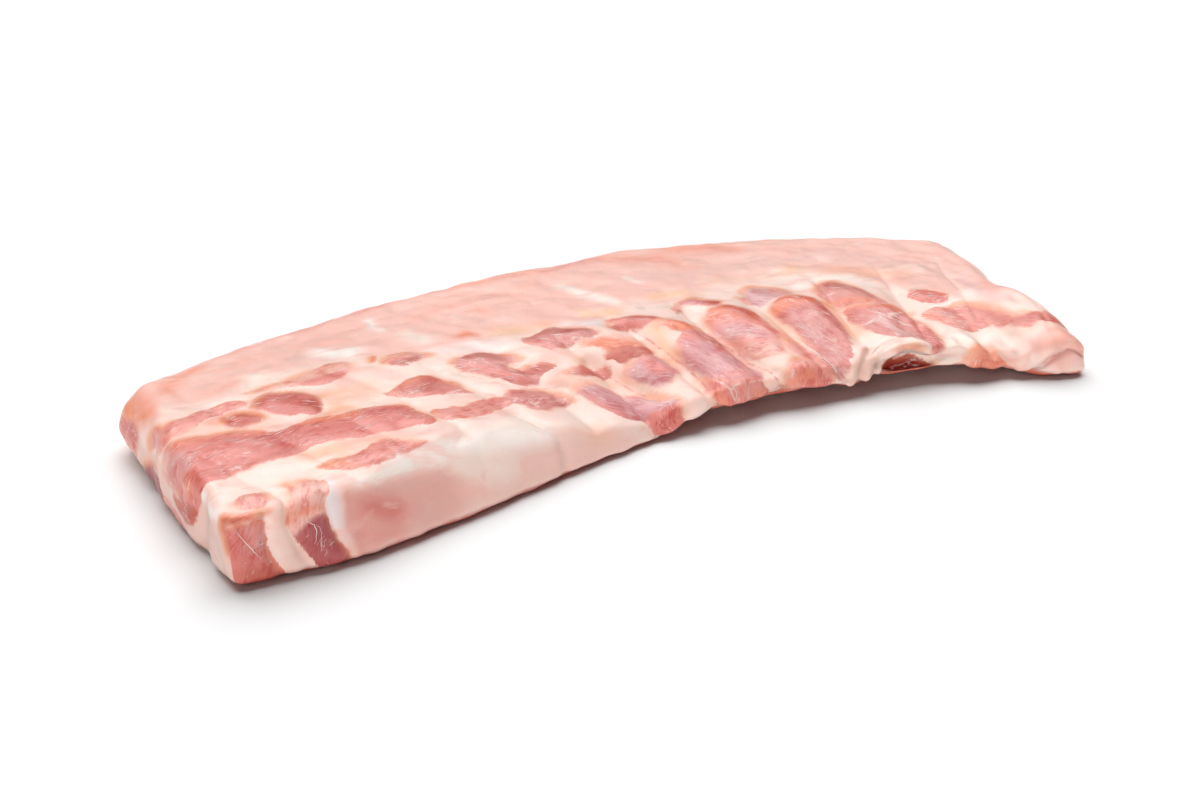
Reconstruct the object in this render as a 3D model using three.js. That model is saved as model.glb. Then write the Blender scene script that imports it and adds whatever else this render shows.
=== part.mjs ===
// A rack of raw pork ribs, both ends cut square, lying on its bone side.
//
// Millimetres, +Z up. X runs along the rack, from rib to rib. Y runs along the ribs, from the
// thin near edge to the smooth far edge. The origin is the middle of the rack's box, on the
// surface that it rests on. The rack is one piece of meat: a finely divided box whose points are
// moved in three steps. Its edges are rounded, it is bent to the rack's plan and thickness, and
// the two cut ends get their relief.

import * as THREE from "three";
import { mergeVertices } from "three/addons/utils/BufferGeometryUtils.js";

// ---- driving dimensions ----------------------------------------------------------------------

// The uncut block that the rack starts from. LENGTH is also the distance between the cut ends.
const LENGTH = 381;
const BLOCK_WIDTH = 130;
const BLOCK_HEIGHT = 28;

// The near edge: a hollow arc that the square corner of the cut interrupts at the left.
const NEAR = { crest: -52, crestX: 36.5, radius: 440, squareCorner: -87, blend: 3 };

// The far edge: two arcs that meet at its crest, the right one closing in faster, and a shoulder.
const FAR = { crest: 85.5, crestX: 45, leftRadius: 710, rightRadius: 186 };
const SHOULDER = { x: -98, halfLength: 38, reach: 2.5 };

// Heights of the top: along the thick middle and along the far edge, each from left to right.
const MIDDLE = { left: 29.5, right: 23.5, reach: 0.42 };
const FAR_TOP = { left: 25, right: 22.5, starts: 0.55 };

// The near edge is cut through thick meat at the left and thins to a skirt from the middle on.
const NEAR_WALL = { thick: 29, thin: 9, thinsFrom: -105, thinsOver: 115 };

// The thin part of the near edge hangs clear of the surface that the rack rests on.
const LIFT = { height: 7, risesFrom: -5, risesOver: 30, endsAt: 178, endsOver: 40, depth: 50 };

// The near wall leans back over its height, most where the thick meat ends.
const LEAN = { least: 3, most: 9, at: -98, halfLength: 38, skirt: 2, skirtFrom: -60, skirtOver: 60 };

// How fast the near wall's lean and hollow die away behind it, as a power.
const WALL_FADE = 6;

// Ribs run straight across the rack at one place and fan out to a limit on both sides of it.
const RIBS = { pitch: 29.5, straightX: 77, spreadOver: 70, tilt: 0.35, pivotY: -20 };

// The pillows of meat over the ribs, on top: highest over the skirt, fading out elsewhere.
const PILLOW = {
  height: 3.4,
  level: 0.6,
  fadesFrom: -12,
  fadesTo: 28,
  leftEnd: -70,
  leftFull: 0,
  leftShare: 0.25,
};

// The bone side: flat-faced ribs with shallow grooves of drawn-back meat between them.
// Their ends make a row of low scallops along the thin part of the near edge.
const BONES = { groove: 1.6, flatFrom: 0.62, edge: 0.18, rim: 16, endReach: 1.4, endsOver: 30 };

// A folded-back lip near the right, over a hollow in the near wall, and the fat flap beside it.
const LIP = { x: 118, halfLength: 15, hollow: 9, hollowTop: 0.85, rim: 2.4, rimShare: 0.07 };
const FLAP = { x: 89, halfLength: 6, drop: 2.5 };

// The rounded knuckle at the near right corner, and the knobs of fat beside it.
const KNUCKLE = { x: 178, halfLength: 14, forward: 7, height: 8, foldX: 163, foldHalf: 3, fold: 2.5 };
const KNOB = { x: 150, halfLength: 20, pitch: 9, size: 1.1 };

// Rounding of the block's edges: tight where it rests and at the square corner, and wide at the
// far left corner and the knuckle. Each corner's rounding reaches over a share of the block.
const ROUND = { top: 7.5, bottom: 2.5, squareCorner: 4.5, farLeft: 13.5, knuckle: 7.5 };
const ROUND_REACH = { squareCorner: 0.25, farLeft: 0.2, knuckle: 0.125, knuckleAcross: 0.25 };

// Relief of the left cut end: muscles stand proud of the seams of fat between them.
const LEFT_END = {
  depth: 14,
  bulge: 2.4,
  bulgeAt: 0.3,
  bulgeHalf: 0.4,
  bulgeFrom: 0.4,
  seams: [-58, -2],
  seamHalf: 6,
  seam: 1.6,
  cornerLip: 1.2,
  cornerAt: 0.03,
  cornerHalf: 0.08,
};

// The right cut end is drawn in along its middle, and runs out a little towards the knuckle.
const RIGHT_END = { waist: 6.5, at: 0.53, halfWidth: 0.13, nearOut: 1, nearShare: 0.625, depth: 30 };

// Low uneven waves over the top: each has a height, the distances along X and Y that turn it by
// one radian, and a start.
const TOP_WAVES = [
  [0.45, 31, 47, 0],
  [0.3, 17, -23, 1.3],
  [0.35, 53, 13, 2.1],
];

// A wave along the far edge.
const EDGE_WAVE = { height: 0.9, length: 62, crestX: 52 };

// Divisions of the block along X, Y and Z, and how far they crowd towards its edges.
const DIVISIONS = [78, 28, 4];
const CROWDING = [0.3, 0.45];

// ---- small helpers ---------------------------------------------------------------------------

const smooth = (t) => THREE.MathUtils.smoothstep(t, 0, 1);
const bell = (t) => Math.exp(-t * t);
const mix = (a, b, t) => a + (b - a) * t;
const along = (x) => x / LENGTH + 0.5;

// Moves a share of 0 to 1 towards the nearer of its two ends.
const crowd = (share, amount) => share - (amount * Math.sin(2 * Math.PI * share)) / (2 * Math.PI);

// The larger of two numbers, with the change from one to the other rounded over a width.
const softMax = (a, b, width) => width * Math.log(Math.exp(a / width) + Math.exp(b / width));

// ---- plan and thickness ----------------------------------------------------------------------

// 0 in a crease between two ribs and 1 on the middle of a rib.
function ribWave(x, y) {
  const tilt = RIBS.tilt * Math.tanh((x - RIBS.straightX) / RIBS.spreadOver);
  const across = x - RIBS.straightX - tilt * (y - RIBS.pivotY);
  return Math.abs(Math.sin((Math.PI * across) / RIBS.pitch));
}

function nearEdge(x) {
  const arc = NEAR.crest - (x - NEAR.crestX) ** 2 / (2 * NEAR.radius);
  const knuckle = KNUCKLE.forward * bell((x - KNUCKLE.x) / KNUCKLE.halfLength);
  const ribEnds = BONES.endReach * ribWave(x, arc) * smooth(x / BONES.endsOver);
  return softMax(arc, NEAR.squareCorner, NEAR.blend) - knuckle - ribEnds;
}

function farEdge(x) {
  const radius = x < FAR.crestX ? FAR.leftRadius : FAR.rightRadius;
  const shoulder = SHOULDER.reach * bell((x - SHOULDER.x) / SHOULDER.halfLength);
  const wave = EDGE_WAVE.height * Math.cos((2 * Math.PI * (x - EDGE_WAVE.crestX)) / EDGE_WAVE.length);
  return FAR.crest - (x - FAR.crestX) ** 2 / (2 * radius) + shoulder + wave;
}

function nearLift(x) {
  const skirt = smooth((x - LIFT.risesFrom) / LIFT.risesOver) * smooth((LIFT.endsAt - x) / LIFT.endsOver);
  const flap = FLAP.drop * bell((x - FLAP.x) / FLAP.halfLength);
  return LIFT.height * skirt - flap;
}

function nearThickness(x) {
  const cut = mix(NEAR_WALL.thick, NEAR_WALL.thin, smooth((x - NEAR_WALL.thinsFrom) / NEAR_WALL.thinsOver));
  const knuckle = KNUCKLE.height * bell((x - KNUCKLE.x) / KNUCKLE.halfLength);
  const fold = KNUCKLE.fold * bell((x - KNUCKLE.foldX) / KNUCKLE.foldHalf);
  const knobs = KNOB.size * Math.sin((2 * Math.PI * x) / KNOB.pitch) * bell((x - KNOB.x) / KNOB.halfLength);
  return cut + knuckle - fold + knobs;
}

function nearLean(x) {
  const deepest = (LEAN.most - LEAN.least) * bell((x - LEAN.at) / LEAN.halfLength);
  return LEAN.least + deepest + LEAN.skirt * smooth((x - LEAN.skirtFrom) / LEAN.skirtOver);
}

// Pillows of meat between the creases on top.
function pillow(x, y) {
  const across = 1 - smooth((y - PILLOW.fadesFrom) / (PILLOW.fadesTo - PILLOW.fadesFrom));
  const leftward = smooth((x - PILLOW.leftEnd) / (PILLOW.leftFull - PILLOW.leftEnd));
  const share = mix(PILLOW.leftShare, 1, leftward) * across;
  return PILLOW.height * share * (Math.sqrt(ribWave(x, y)) - PILLOW.level);
}

function unevenness(x, y) {
  const wave = ([height, alongX, alongY, start]) => height * Math.sin(x / alongX + y / alongY + start);
  return TOP_WAVES.reduce((sum, each) => sum + wave(each), 0);
}

// Height of the top over the plan, with share 0 at the near edge and 1 at the far edge.
function topHeight(x, y, share) {
  const near = nearLift(x) + nearThickness(x);
  const middle = mix(MIDDLE.left, MIDDLE.right, smooth(along(x)));
  const far = mix(FAR_TOP.left, FAR_TOP.right, smooth(along(x)));
  const rise = smooth(share / MIDDLE.reach);
  const fall = smooth((share - FAR_TOP.starts) / (1 - FAR_TOP.starts));
  const rim = LIP.rim * bell((x - LIP.x) / LIP.halfLength) * bell(share / LIP.rimShare);
  const plain = near + (middle - near) * rise + (far - middle) * fall;
  return plain + pillow(x, y) + unevenness(x, y) + rim;
}

// Height of the bone side: 0 on the flat of each rib that the rack rests on.
function boneHeight(x, y) {
  const hang = nearLift(x) * (1 - smooth((y - nearEdge(x)) / LIFT.depth));
  const inside = smooth((y - nearEdge(x)) / BONES.rim);
  const groove = BONES.groove * inside * (1 - smooth((ribWave(x, y) - BONES.flatFrom) / BONES.edge + 1));
  return hang + groove;
}

// ---- the three steps -------------------------------------------------------------------------

// Rounds the edges of the block: what lies past an inner box is drawn onto a sphere around it.
function roundBlock(point, along01, across01) {
  const squareCorner = smooth(1 - along01 / ROUND_REACH.squareCorner) * (1 - across01);
  const farLeft = smooth(1 - along01 / ROUND_REACH.farLeft) * smooth(across01 * 2 - 1);
  const knuckleAlong = smooth(1 - (1 - along01) / ROUND_REACH.knuckle);
  const knuckle = knuckleAlong * smooth(1 - across01 / ROUND_REACH.knuckleAcross);
  const top = mix(ROUND.top, ROUND.squareCorner, squareCorner);
  const plain = mix(ROUND.bottom, top, smooth(point.z / BLOCK_HEIGHT + 0.5));
  const radius = mix(mix(plain, ROUND.farLeft, farLeft), ROUND.knuckle, knuckle);
  const inner = new THREE.Vector3(
    LENGTH / 2 - radius,
    BLOCK_WIDTH / 2 - radius,
    BLOCK_HEIGHT / 2 - radius,
  );
  const core = point.clone().clamp(inner.clone().negate(), inner);
  return point.sub(core).setLength(Math.min(point.length(), radius)).add(core);
}

// Bends the block to the rack's plan and gives it its thickness.
function bendToPlan(point) {
  const x = point.x;
  const share = point.y / BLOCK_WIDTH + 0.5;
  const up = point.z / BLOCK_HEIGHT + 0.5;
  const near = nearEdge(x);
  const far = farEdge(x);
  const y = near + share * (far - near);
  const low = boneHeight(x, y);
  const high = topHeight(x, y, share);
  const atNear = (1 - share) ** WALL_FADE;
  const inHollow = Math.sin(Math.PI * Math.min(up / LIP.hollowTop, 1));
  const hollow = LIP.hollow * bell((x - LIP.x) / LIP.halfLength) * inHollow;
  point.y = y + (nearLean(x) * up + hollow) * atNear;
  point.z = low + up * (high - low);
  return { share, up };
}

// Relief of the two cut ends.
function dressEnds(point, { share, up }) {
  const atLeft = smooth(1 - (point.x + LENGTH / 2) / LEFT_END.depth);
  const seams = LEFT_END.seams.reduce((sum, y) => sum + bell((point.y - y) / LEFT_END.seamHalf), 0);
  const bulge = LEFT_END.bulge * bell((up - LEFT_END.bulgeAt) / LEFT_END.bulgeHalf);
  const belly = bulge * smooth(share / LEFT_END.bulgeFrom) - LEFT_END.seam * seams;
  const atCorner = bell((share - LEFT_END.cornerAt) / LEFT_END.cornerHalf);
  const lip = LEFT_END.cornerLip * atCorner * smooth(up * 2 - 1);
  const atRight = smooth((point.x - LENGTH / 2 + RIGHT_END.depth) / RIGHT_END.depth);
  const waist = RIGHT_END.waist * bell((share - RIGHT_END.at) / RIGHT_END.halfWidth);
  const nearOut = RIGHT_END.nearOut * (1 - smooth(share / RIGHT_END.nearShare));
  point.x -= atLeft * (belly + lip) + atRight * (waist - nearOut);
}

function buildRack() {
  const block = new THREE.BoxGeometry(1, 1, 1, ...DIVISIONS);
  block.deleteAttribute("normal");
  block.deleteAttribute("uv");
  const rack = mergeVertices(block);
  const position = rack.getAttribute("position");
  const point = new THREE.Vector3();
  for (let i = 0; i < position.count; i++) {
    point.fromBufferAttribute(position, i).addScalar(0.5);
    const along01 = crowd(point.x, CROWDING[0]);
    const across01 = crowd(point.y, CROWDING[1]);
    point.set(
      (along01 - 0.5) * LENGTH,
      (across01 - 0.5) * BLOCK_WIDTH,
      (point.z - 0.5) * BLOCK_HEIGHT,
    );
    roundBlock(point, along01, across01);
    dressEnds(point, bendToPlan(point));
    position.setXYZ(i, point.x, point.y, point.z);
  }
  rack.computeBoundingBox();
  const middle = rack.boundingBox.getCenter(new THREE.Vector3());
  rack.translate(-middle.x, -middle.y, -rack.boundingBox.min.z);
  rack.computeVertexNormals();
  return rack;
}

// ---- the part --------------------------------------------------------------------------------

const rawMeat = new THREE.MeshStandardMaterial({ color: 0xdf9d92, roughness: 0.42, metalness: 0 });

const ribRack = new THREE.Mesh(buildRack(), rawMeat);
ribRack.name = "rib_rack";

const part = new THREE.Group();
part.add(ribRack);

export default part;
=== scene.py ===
"""A rack of raw pork ribs, lying on its bone side on a pale studio floor.

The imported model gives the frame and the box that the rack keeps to. This script builds the rack's
visible meat at a finer division, from the same sizes, and paints and dresses it: lean, fat,
silverskin, creases and the fine relief of each.

Sizes are in millimetres until a mesh is made. Block coordinates are the ones in which the rack's
plan is drawn; the finished rack is centred on its own box.
"""

from __future__ import annotations

import logging
import math
from dataclasses import dataclass, field
from enum import Enum

import bpy
import numpy as np
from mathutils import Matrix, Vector

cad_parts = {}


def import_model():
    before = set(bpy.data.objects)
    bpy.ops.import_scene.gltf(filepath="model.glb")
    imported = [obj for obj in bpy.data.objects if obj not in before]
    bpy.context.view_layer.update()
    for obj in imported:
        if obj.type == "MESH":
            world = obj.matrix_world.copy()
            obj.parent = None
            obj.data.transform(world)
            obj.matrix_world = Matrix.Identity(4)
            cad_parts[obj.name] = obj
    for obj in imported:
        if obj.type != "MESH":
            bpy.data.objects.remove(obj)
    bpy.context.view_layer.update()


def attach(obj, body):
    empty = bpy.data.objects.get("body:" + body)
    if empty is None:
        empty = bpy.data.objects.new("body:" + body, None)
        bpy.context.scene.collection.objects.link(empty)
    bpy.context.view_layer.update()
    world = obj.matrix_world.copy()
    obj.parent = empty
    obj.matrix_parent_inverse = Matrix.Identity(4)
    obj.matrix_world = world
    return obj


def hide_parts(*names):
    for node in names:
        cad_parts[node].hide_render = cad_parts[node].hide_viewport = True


LOG = logging.getLogger("rib_rack")
MM = 0.001
NODE = "rib_rack"
BODY = "root"

Array = np.ndarray
Point = tuple[float, ...]


# ---- small helpers -------------------------------------------------------------------------------


def linear(hex_colour: str) -> tuple[float, float, float, float]:
    """Turns an sRGB hex colour into linear red, green, blue and alpha.

    Args:
        hex_colour: six hex digits after a hash sign.

    Returns:
        The four linear values.
    """
    parts = [int(hex_colour[i : i + 2], 16) / 255 for i in (1, 3, 5)]
    red, green, blue = (c / 12.92 if c <= 0.04045 else ((c + 0.055) / 1.055) ** 2.4 for c in parts)
    return red, green, blue, 1.0


def smooth(t: Array) -> Array:
    """Eases a share from 0 to 1, and holds it past its ends."""
    t = np.clip(t, 0.0, 1.0)
    return t * t * (3.0 - 2.0 * t)


def bell(t: Array) -> Array:
    """A bell curve of height 1 that falls to 1/e at a distance of 1."""
    return np.exp(-np.square(t))


def mix(a: Array, b: Array, t: Array) -> Array:
    """Goes from a to b as t goes from 0 to 1."""
    return a + (b - a) * t


def add_node(tree: bpy.types.NodeTree, kind: str, inputs: dict | None = None, **settings) -> bpy.types.Node:
    """Adds a node with its settings and its inputs.

    Args:
        tree: the node tree.
        kind: the node's type name in Blender.
        inputs: sockets to link from, or plain values, by the input's name or number.
        settings: the node's own properties.

    Returns:
        The new node.
    """
    node = tree.nodes.new(kind)
    for name, value in settings.items():
        setattr(node, name, value)
    for key, value in (inputs or {}).items():
        socket = node.inputs[key]
        if isinstance(value, bpy.types.NodeSocket):
            tree.links.new(value, socket)
        else:
            socket.default_value = value
    return node


def link_to_scene(name: str, data: bpy.types.ID) -> bpy.types.Object:
    """Makes an object of some data and links it to the scene.

    Args:
        name: the object's name.
        data: a mesh, light or camera.

    Returns:
        The object.
    """
    thing = bpy.data.objects.new(name, data)
    bpy.context.scene.collection.objects.link(thing)
    return thing


# ---- the rack's form -----------------------------------------------------------------------------


@dataclass
class Skin:
    """The rack's surface as points and quads, with the shares and the chart that painting needs."""

    points: Array
    quads: Array
    grid: Array
    across: Array
    up: Array
    chart: Array
    centre: Array

    def normals(self) -> Array:
        """Works out a normal for each point.

        Returns:
            Unit normals, one row for each point.
        """
        p, q = self.points, self.quads
        face = np.cross(p[q[:, 2]] - p[q[:, 0]], p[q[:, 3]] - p[q[:, 1]])
        total = np.zeros_like(p)
        for corner in range(4):
            np.add.at(total, q[:, corner], face)
        return total / np.maximum(np.linalg.norm(total, axis=1, keepdims=True), 1e-9)


@dataclass
class RackForm:
    """The form of the rack, from the sizes that its solid is made with.

    A finely divided block has its edges rounded, is bent to the rack's plan and thickness, and gets
    the relief of its two cut ends.
    """

    length: float = 381.0
    block_width: float = 130.0
    block_height: float = 28.0
    # The near edge: a hollow arc that the square corner of the cut interrupts at the left.
    near_crest: float = -52.0
    near_crest_x: float = 36.5
    near_radius: float = 440.0
    square_corner: float = -87.0
    corner_blend: float = 3.0
    # The far edge: two arcs that meet at its crest, a shoulder and a slow wave.
    far_crest: float = 85.5
    far_crest_x: float = 45.0
    far_left_radius: float = 710.0
    far_right_radius: float = 186.0
    shoulder: Point = (-98.0, 38.0, 2.5)
    edge_wave: Point = (0.9, 62.0, 52.0)
    # Heights of the top.
    middle_height: Point = (29.5, 23.5)
    middle_reach: float = 0.42
    far_height: Point = (25.0, 22.5)
    far_starts: float = 0.55
    near_wall: Point = (29.0, 9.0, -105.0, 115.0)
    lean_back: Point = (3.0, 9.0, -98.0, 38.0)
    skirt_lean: float = 2.0
    skirt_lean_from: Point = (-60.0, 60.0)
    foot_out: Point = (-85.0, 60.0, 9.0)
    foot_lift: Point = (1.3, 8.0)
    # The near edge hangs clear of the floor from the middle on.
    lift: float = 7.0
    lift_from: Point = (-5.0, 30.0)
    lift_until: Point = (178.0, 40.0)
    lift_depth: float = 50.0
    # Ribs and the pillows of meat over them.
    rib_pitch: float = 29.5
    straight_x: float = 77.0
    fan: Point = (0.35, 70.0, -20.0)
    pillow: float = 3.4
    pillow_fades: Point = (-12.0, 28.0)
    pillow_left: Point = (-70.0, 0.0, 0.25)
    pillow_right: Point = (128.0, 156.0, 0.3)
    groove: float = 1.6
    groove_edge: Point = (0.62, 0.18)
    groove_rim: float = 16.0
    rib_ends: Point = (1.4, 30.0)
    # The folded lip over its hollow, the fat flap, the knuckle and the knobs beside it.
    lip: Point = (118.0, 15.0)
    lip_hollow: float = 9.0
    lip_rim: float = 2.4
    lip_rim_share: float = 0.07
    hollow_top: float = 0.85
    flap: Point = (89.0, 6.0, 2.5)
    knuckle: Point = (178.0, 14.0)
    knuckle_forward: float = 7.0
    knuckle_height: float = 8.0
    knuckle_fold: Point = (163.0, 3.0, 2.5)
    knobs: Point = (150.0, 20.0, 9.0, 1.1)
    # Rounding of the edges.
    round_top: float = 7.5
    round_bottom: float = 2.5
    round_square: float = 4.5
    round_foot: float = 5.5
    round_near: Point = (-85.0, 50.0, 12.0)
    round_far_left: float = 13.5
    round_knuckle: float = 7.5
    # The cut ends.
    left_bulge: Point = (2.4, 0.3, 0.4)
    left_seams: Point = (-58.0, -2.0)
    left_seam: Point = (6.0, 1.6)
    left_lip: Point = (1.2, 0.03, 0.08)
    left_depth: float = 14.0
    right_waist: Point = (6.5, 0.53, 0.13)
    right_near_out: Point = (1.0, 1.6)
    right_depth: float = 30.0
    # Divisions of the block, and how far they crowd towards its edges.
    divisions: tuple[int, int, int] = (300, 128, 18)
    crowding: tuple[float, float] = (0.3, 0.45)
    # The skin laid flat: bands of the top that hang over the ends and the long edges, as shares of
    # the block, and how far off the underside is laid.
    end_band: float = 0.06
    side_band: float = 0.12
    underside_offset: float = 500.0
    waves: tuple[Point, ...] = ((0.45, 31, 47, 0.0), (0.3, 17, -23, 1.3), (0.35, 53, 13, 2.1))

    def rib_across(self, x: Array, y: Array) -> Array:
        """Distance across the ribs from the straight crease between two of them.

        Args:
            x: places along the rack.
            y: places across the rack.

        Returns:
            The distances, which grow by one rib pitch from crease to crease.
        """
        tilt, spread, pivot = self.fan
        turned = tilt * np.tanh((x - self.straight_x) / spread)
        return x - self.straight_x - turned * (y - pivot)

    def rib_wave(self, x: Array, y: Array) -> Array:
        """0 in a crease between two ribs and 1 on the middle of a rib."""
        return np.abs(np.sin(np.pi * self.rib_across(x, y) / self.rib_pitch))

    def near_edge(self, x: Array) -> Array:
        """The plan's near edge at each x."""
        arc = self.near_crest - (x - self.near_crest_x) ** 2 / (2 * self.near_radius)
        blend = self.corner_blend
        cut = blend * np.logaddexp(arc / blend, self.square_corner / blend)
        reach, ramp = self.rib_ends
        ends = reach * self.rib_wave(x, arc) * smooth(x / ramp)
        return cut - self.knuckle_forward * bell((x - self.knuckle[0]) / self.knuckle[1]) - ends

    def far_edge(self, x: Array) -> Array:
        """The plan's far edge at each x."""
        radius = np.where(x < self.far_crest_x, self.far_left_radius, self.far_right_radius)
        at, half, reach = self.shoulder
        height, length, crest = self.edge_wave
        wave = height * np.cos(2 * np.pi * (x - crest) / length)
        arc = self.far_crest - (x - self.far_crest_x) ** 2 / (2 * radius)
        return arc + reach * bell((x - at) / half) + wave

    def near_lift(self, x: Array) -> Array:
        """How far the near edge hangs above the floor at each x."""
        rise = smooth((x - self.lift_from[0]) / self.lift_from[1])
        end = smooth((self.lift_until[0] - x) / self.lift_until[1])
        at, half, drop = self.flap
        return self.lift * rise * end - drop * bell((x - at) / half)

    def near_thickness(self, x: Array) -> Array:
        """Thickness of the meat at the near edge at each x."""
        thick, thin, start, over = self.near_wall
        knuckle = self.knuckle_height * bell((x - self.knuckle[0]) / self.knuckle[1])
        fold_x, fold_half, fold = self.knuckle_fold
        return mix(thick, thin, smooth((x - start) / over)) + knuckle - fold * bell((x - fold_x) / fold_half)

    def top_height(self, x: Array, y: Array, across: Array) -> Array:
        """Height of the top over the plan.

        Args:
            x: places along the rack.
            y: places across the rack.
            across: shares from the near edge to the far edge.

        Returns:
            The heights.
        """
        share_along = smooth(x / self.length + 0.5)
        near = self.near_lift(x) + self.near_thickness(x)
        middle = mix(self.middle_height[0], self.middle_height[1], share_along)
        far = mix(self.far_height[0], self.far_height[1], share_along)
        rise = smooth(across / self.middle_reach)
        fall = smooth((across - self.far_starts) / (1 - self.far_starts))
        knob_x, knob_half, pitch, size = self.knobs
        knobs = size * np.sin(2 * np.pi * x / pitch) * bell((x - knob_x) / knob_half)
        lip = self.lip_rim * bell((x - self.lip[0]) / self.lip[1])
        rim = (lip + knobs) * bell(across / self.lip_rim_share)
        start, end = self.pillow_fades
        left, full, least = self.pillow_left
        share = mix(least, 1.0, smooth((x - left) / (full - left)))
        share = share * (1 - smooth((y - start) / (end - start)))
        full, right, least = self.pillow_right
        share = share * mix(1.0, least, smooth((x - full) / (right - full)))
        pillows = self.pillow * share * (np.sqrt(self.rib_wave(x, y)) - 0.6)
        uneven = sum(h * np.sin(x / across_x + y / across_y + s) for h, across_x, across_y, s in self.waves)
        return near + (middle - near) * rise + (far - middle) * fall + pillows + uneven + rim

    def bone_height(self, x: Array, y: Array) -> Array:
        """Height of the bone side: 0 on the flat of each rib that the rack rests on."""
        from_edge = y - self.near_edge(x)
        hang = self.near_lift(x) * (1 - smooth(from_edge / self.lift_depth))
        flat, edge = self.groove_edge
        groove = self.groove * smooth(from_edge / self.groove_rim)
        height, depth = self.foot_lift
        from_rim = np.minimum.reduce([from_edge, self.far_edge(x) - y, self.length / 2 - np.abs(x)])
        foot = height * (1 - smooth(from_rim / depth))
        return hang + foot + groove * (1 - smooth((self.rib_wave(x, y) - flat) / edge + 1))

    def block_grid(self) -> tuple[Array, Array]:
        """Divides the block's surface.

        Returns:
            The points as shares of the block, and the quads, facing outwards.
        """
        nx, ny, nz = self.divisions
        i, j, k = np.meshgrid(np.arange(nx + 1), np.arange(ny + 1), np.arange(nz + 1), indexing="ij")
        on_skin = (i == 0) | (i == nx) | (j == 0) | (j == ny) | (k == 0) | (k == nz)
        number = -np.ones(i.shape, int)
        number[on_skin] = np.arange(on_skin.sum())

        def quads(sheet: Array) -> Array:
            """Quads over one sheet of point numbers."""
            corners = (sheet[:-1, :-1], sheet[1:, :-1], sheet[1:, 1:], sheet[:-1, 1:])
            return np.stack(corners, -1).reshape(-1, 4)

        faces = [
            quads(number[:, :, nz]),
            quads(number[:, :, 0])[:, ::-1],
            quads(number[:, 0, :]),
            quads(number[:, ny, :])[:, ::-1],
            quads(number[0, :, :])[:, ::-1],
            quads(number[nx, :, :]),
        ]
        shares = np.stack([i[on_skin] / nx, j[on_skin] / ny, k[on_skin] / nz], 1)
        return shares, np.concatenate(faces)

    def round_block(self, points: Array, along: Array, across: Array, up: Array) -> Array:
        """Draws what lies past an inner box onto a sphere around it, so that edges turn round.

        Args:
            points: the block's points.
            along: shares along the rack.
            across: shares across the rack.
            up: shares up the block.

        Returns:
            The rounded points.
        """
        square = smooth(1 - along * 4) * (1 - across)
        far_left = smooth(1 - along * 5) * smooth(across * 2 - 1)
        knuckle = smooth(along * 8 - 7) * smooth(1 - across * 4)
        top = mix(self.round_top, self.round_square, square)
        at, half, roll = self.round_near
        top = mix(top, roll, bell((points[:, 0] - at) / half) * smooth(1 - across * 3))
        bottom = mix(self.round_bottom, self.round_foot, smooth(1 - across * 4))
        plain = mix(bottom, top, smooth(up))
        radius = mix(mix(plain, self.round_far_left, far_left), self.round_knuckle, knuckle)[:, None]
        inner = np.array([self.length, self.block_width, self.block_height]) / 2 - radius
        core = np.clip(points, -inner, inner)
        out = points - core
        reach = np.maximum(np.linalg.norm(out, axis=1, keepdims=True), 1e-9)
        return core + out * np.minimum(radius / reach, 1.0)

    def build(self) -> Skin:
        """Makes the rack's surface.

        Returns:
            The surface, with its chart: U along the rack and on down its ends, V across it and on
            down its near and far walls, and the bone side set apart.
        """
        grid, quads = self.block_grid()
        along = grid[:, 0] - self.crowding[0] * np.sin(2 * np.pi * grid[:, 0]) / (2 * np.pi)
        spread = grid[:, 1] - self.crowding[1] * np.sin(2 * np.pi * grid[:, 1]) / (2 * np.pi)
        block = np.array([self.length, self.block_width, self.block_height])
        shares = np.stack([along, spread, grid[:, 2]], 1)
        points = self.round_block((shares - 0.5) * block, along, spread, grid[:, 2])

        x = points[:, 0].copy()
        across = points[:, 1] / self.block_width + 0.5
        up = points[:, 2] / self.block_height + 0.5
        near, far = self.near_edge(x), self.far_edge(x)
        y = near + across * (far - near)
        low, high = self.bone_height(x, y), self.top_height(x, y, across)
        least, most, lean_x, lean_half = self.lean_back
        lean = least + (most - least) * bell((x - lean_x) / lean_half)
        start, ramp = self.skirt_lean_from
        lean = lean + self.skirt_lean * smooth((x - start) / ramp)
        in_hollow = np.sin(np.pi * np.minimum(up / self.hollow_top, 1.0))
        hollow = self.lip_hollow * bell((x - self.lip[0]) / self.lip[1]) * in_hollow
        at, half, reach = self.foot_out
        foot = reach * bell((x - at) / half) * (1 - up)
        bent_y = y + (lean * up + hollow - foot) * (1 - across) ** 6
        bent = np.stack([self.dressed_x(x, bent_y, across, up), bent_y, low + up * (high - low)], 1)

        chart = self.chart_of(grid, x, bent, np.maximum(high - bent[:, 2], 0.0))
        centre = (bent.min(0) + bent.max(0)) / 2
        centre[2] = bent[:, 2].min()
        return Skin(bent - centre, quads, grid, across, up, chart, centre)

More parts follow.
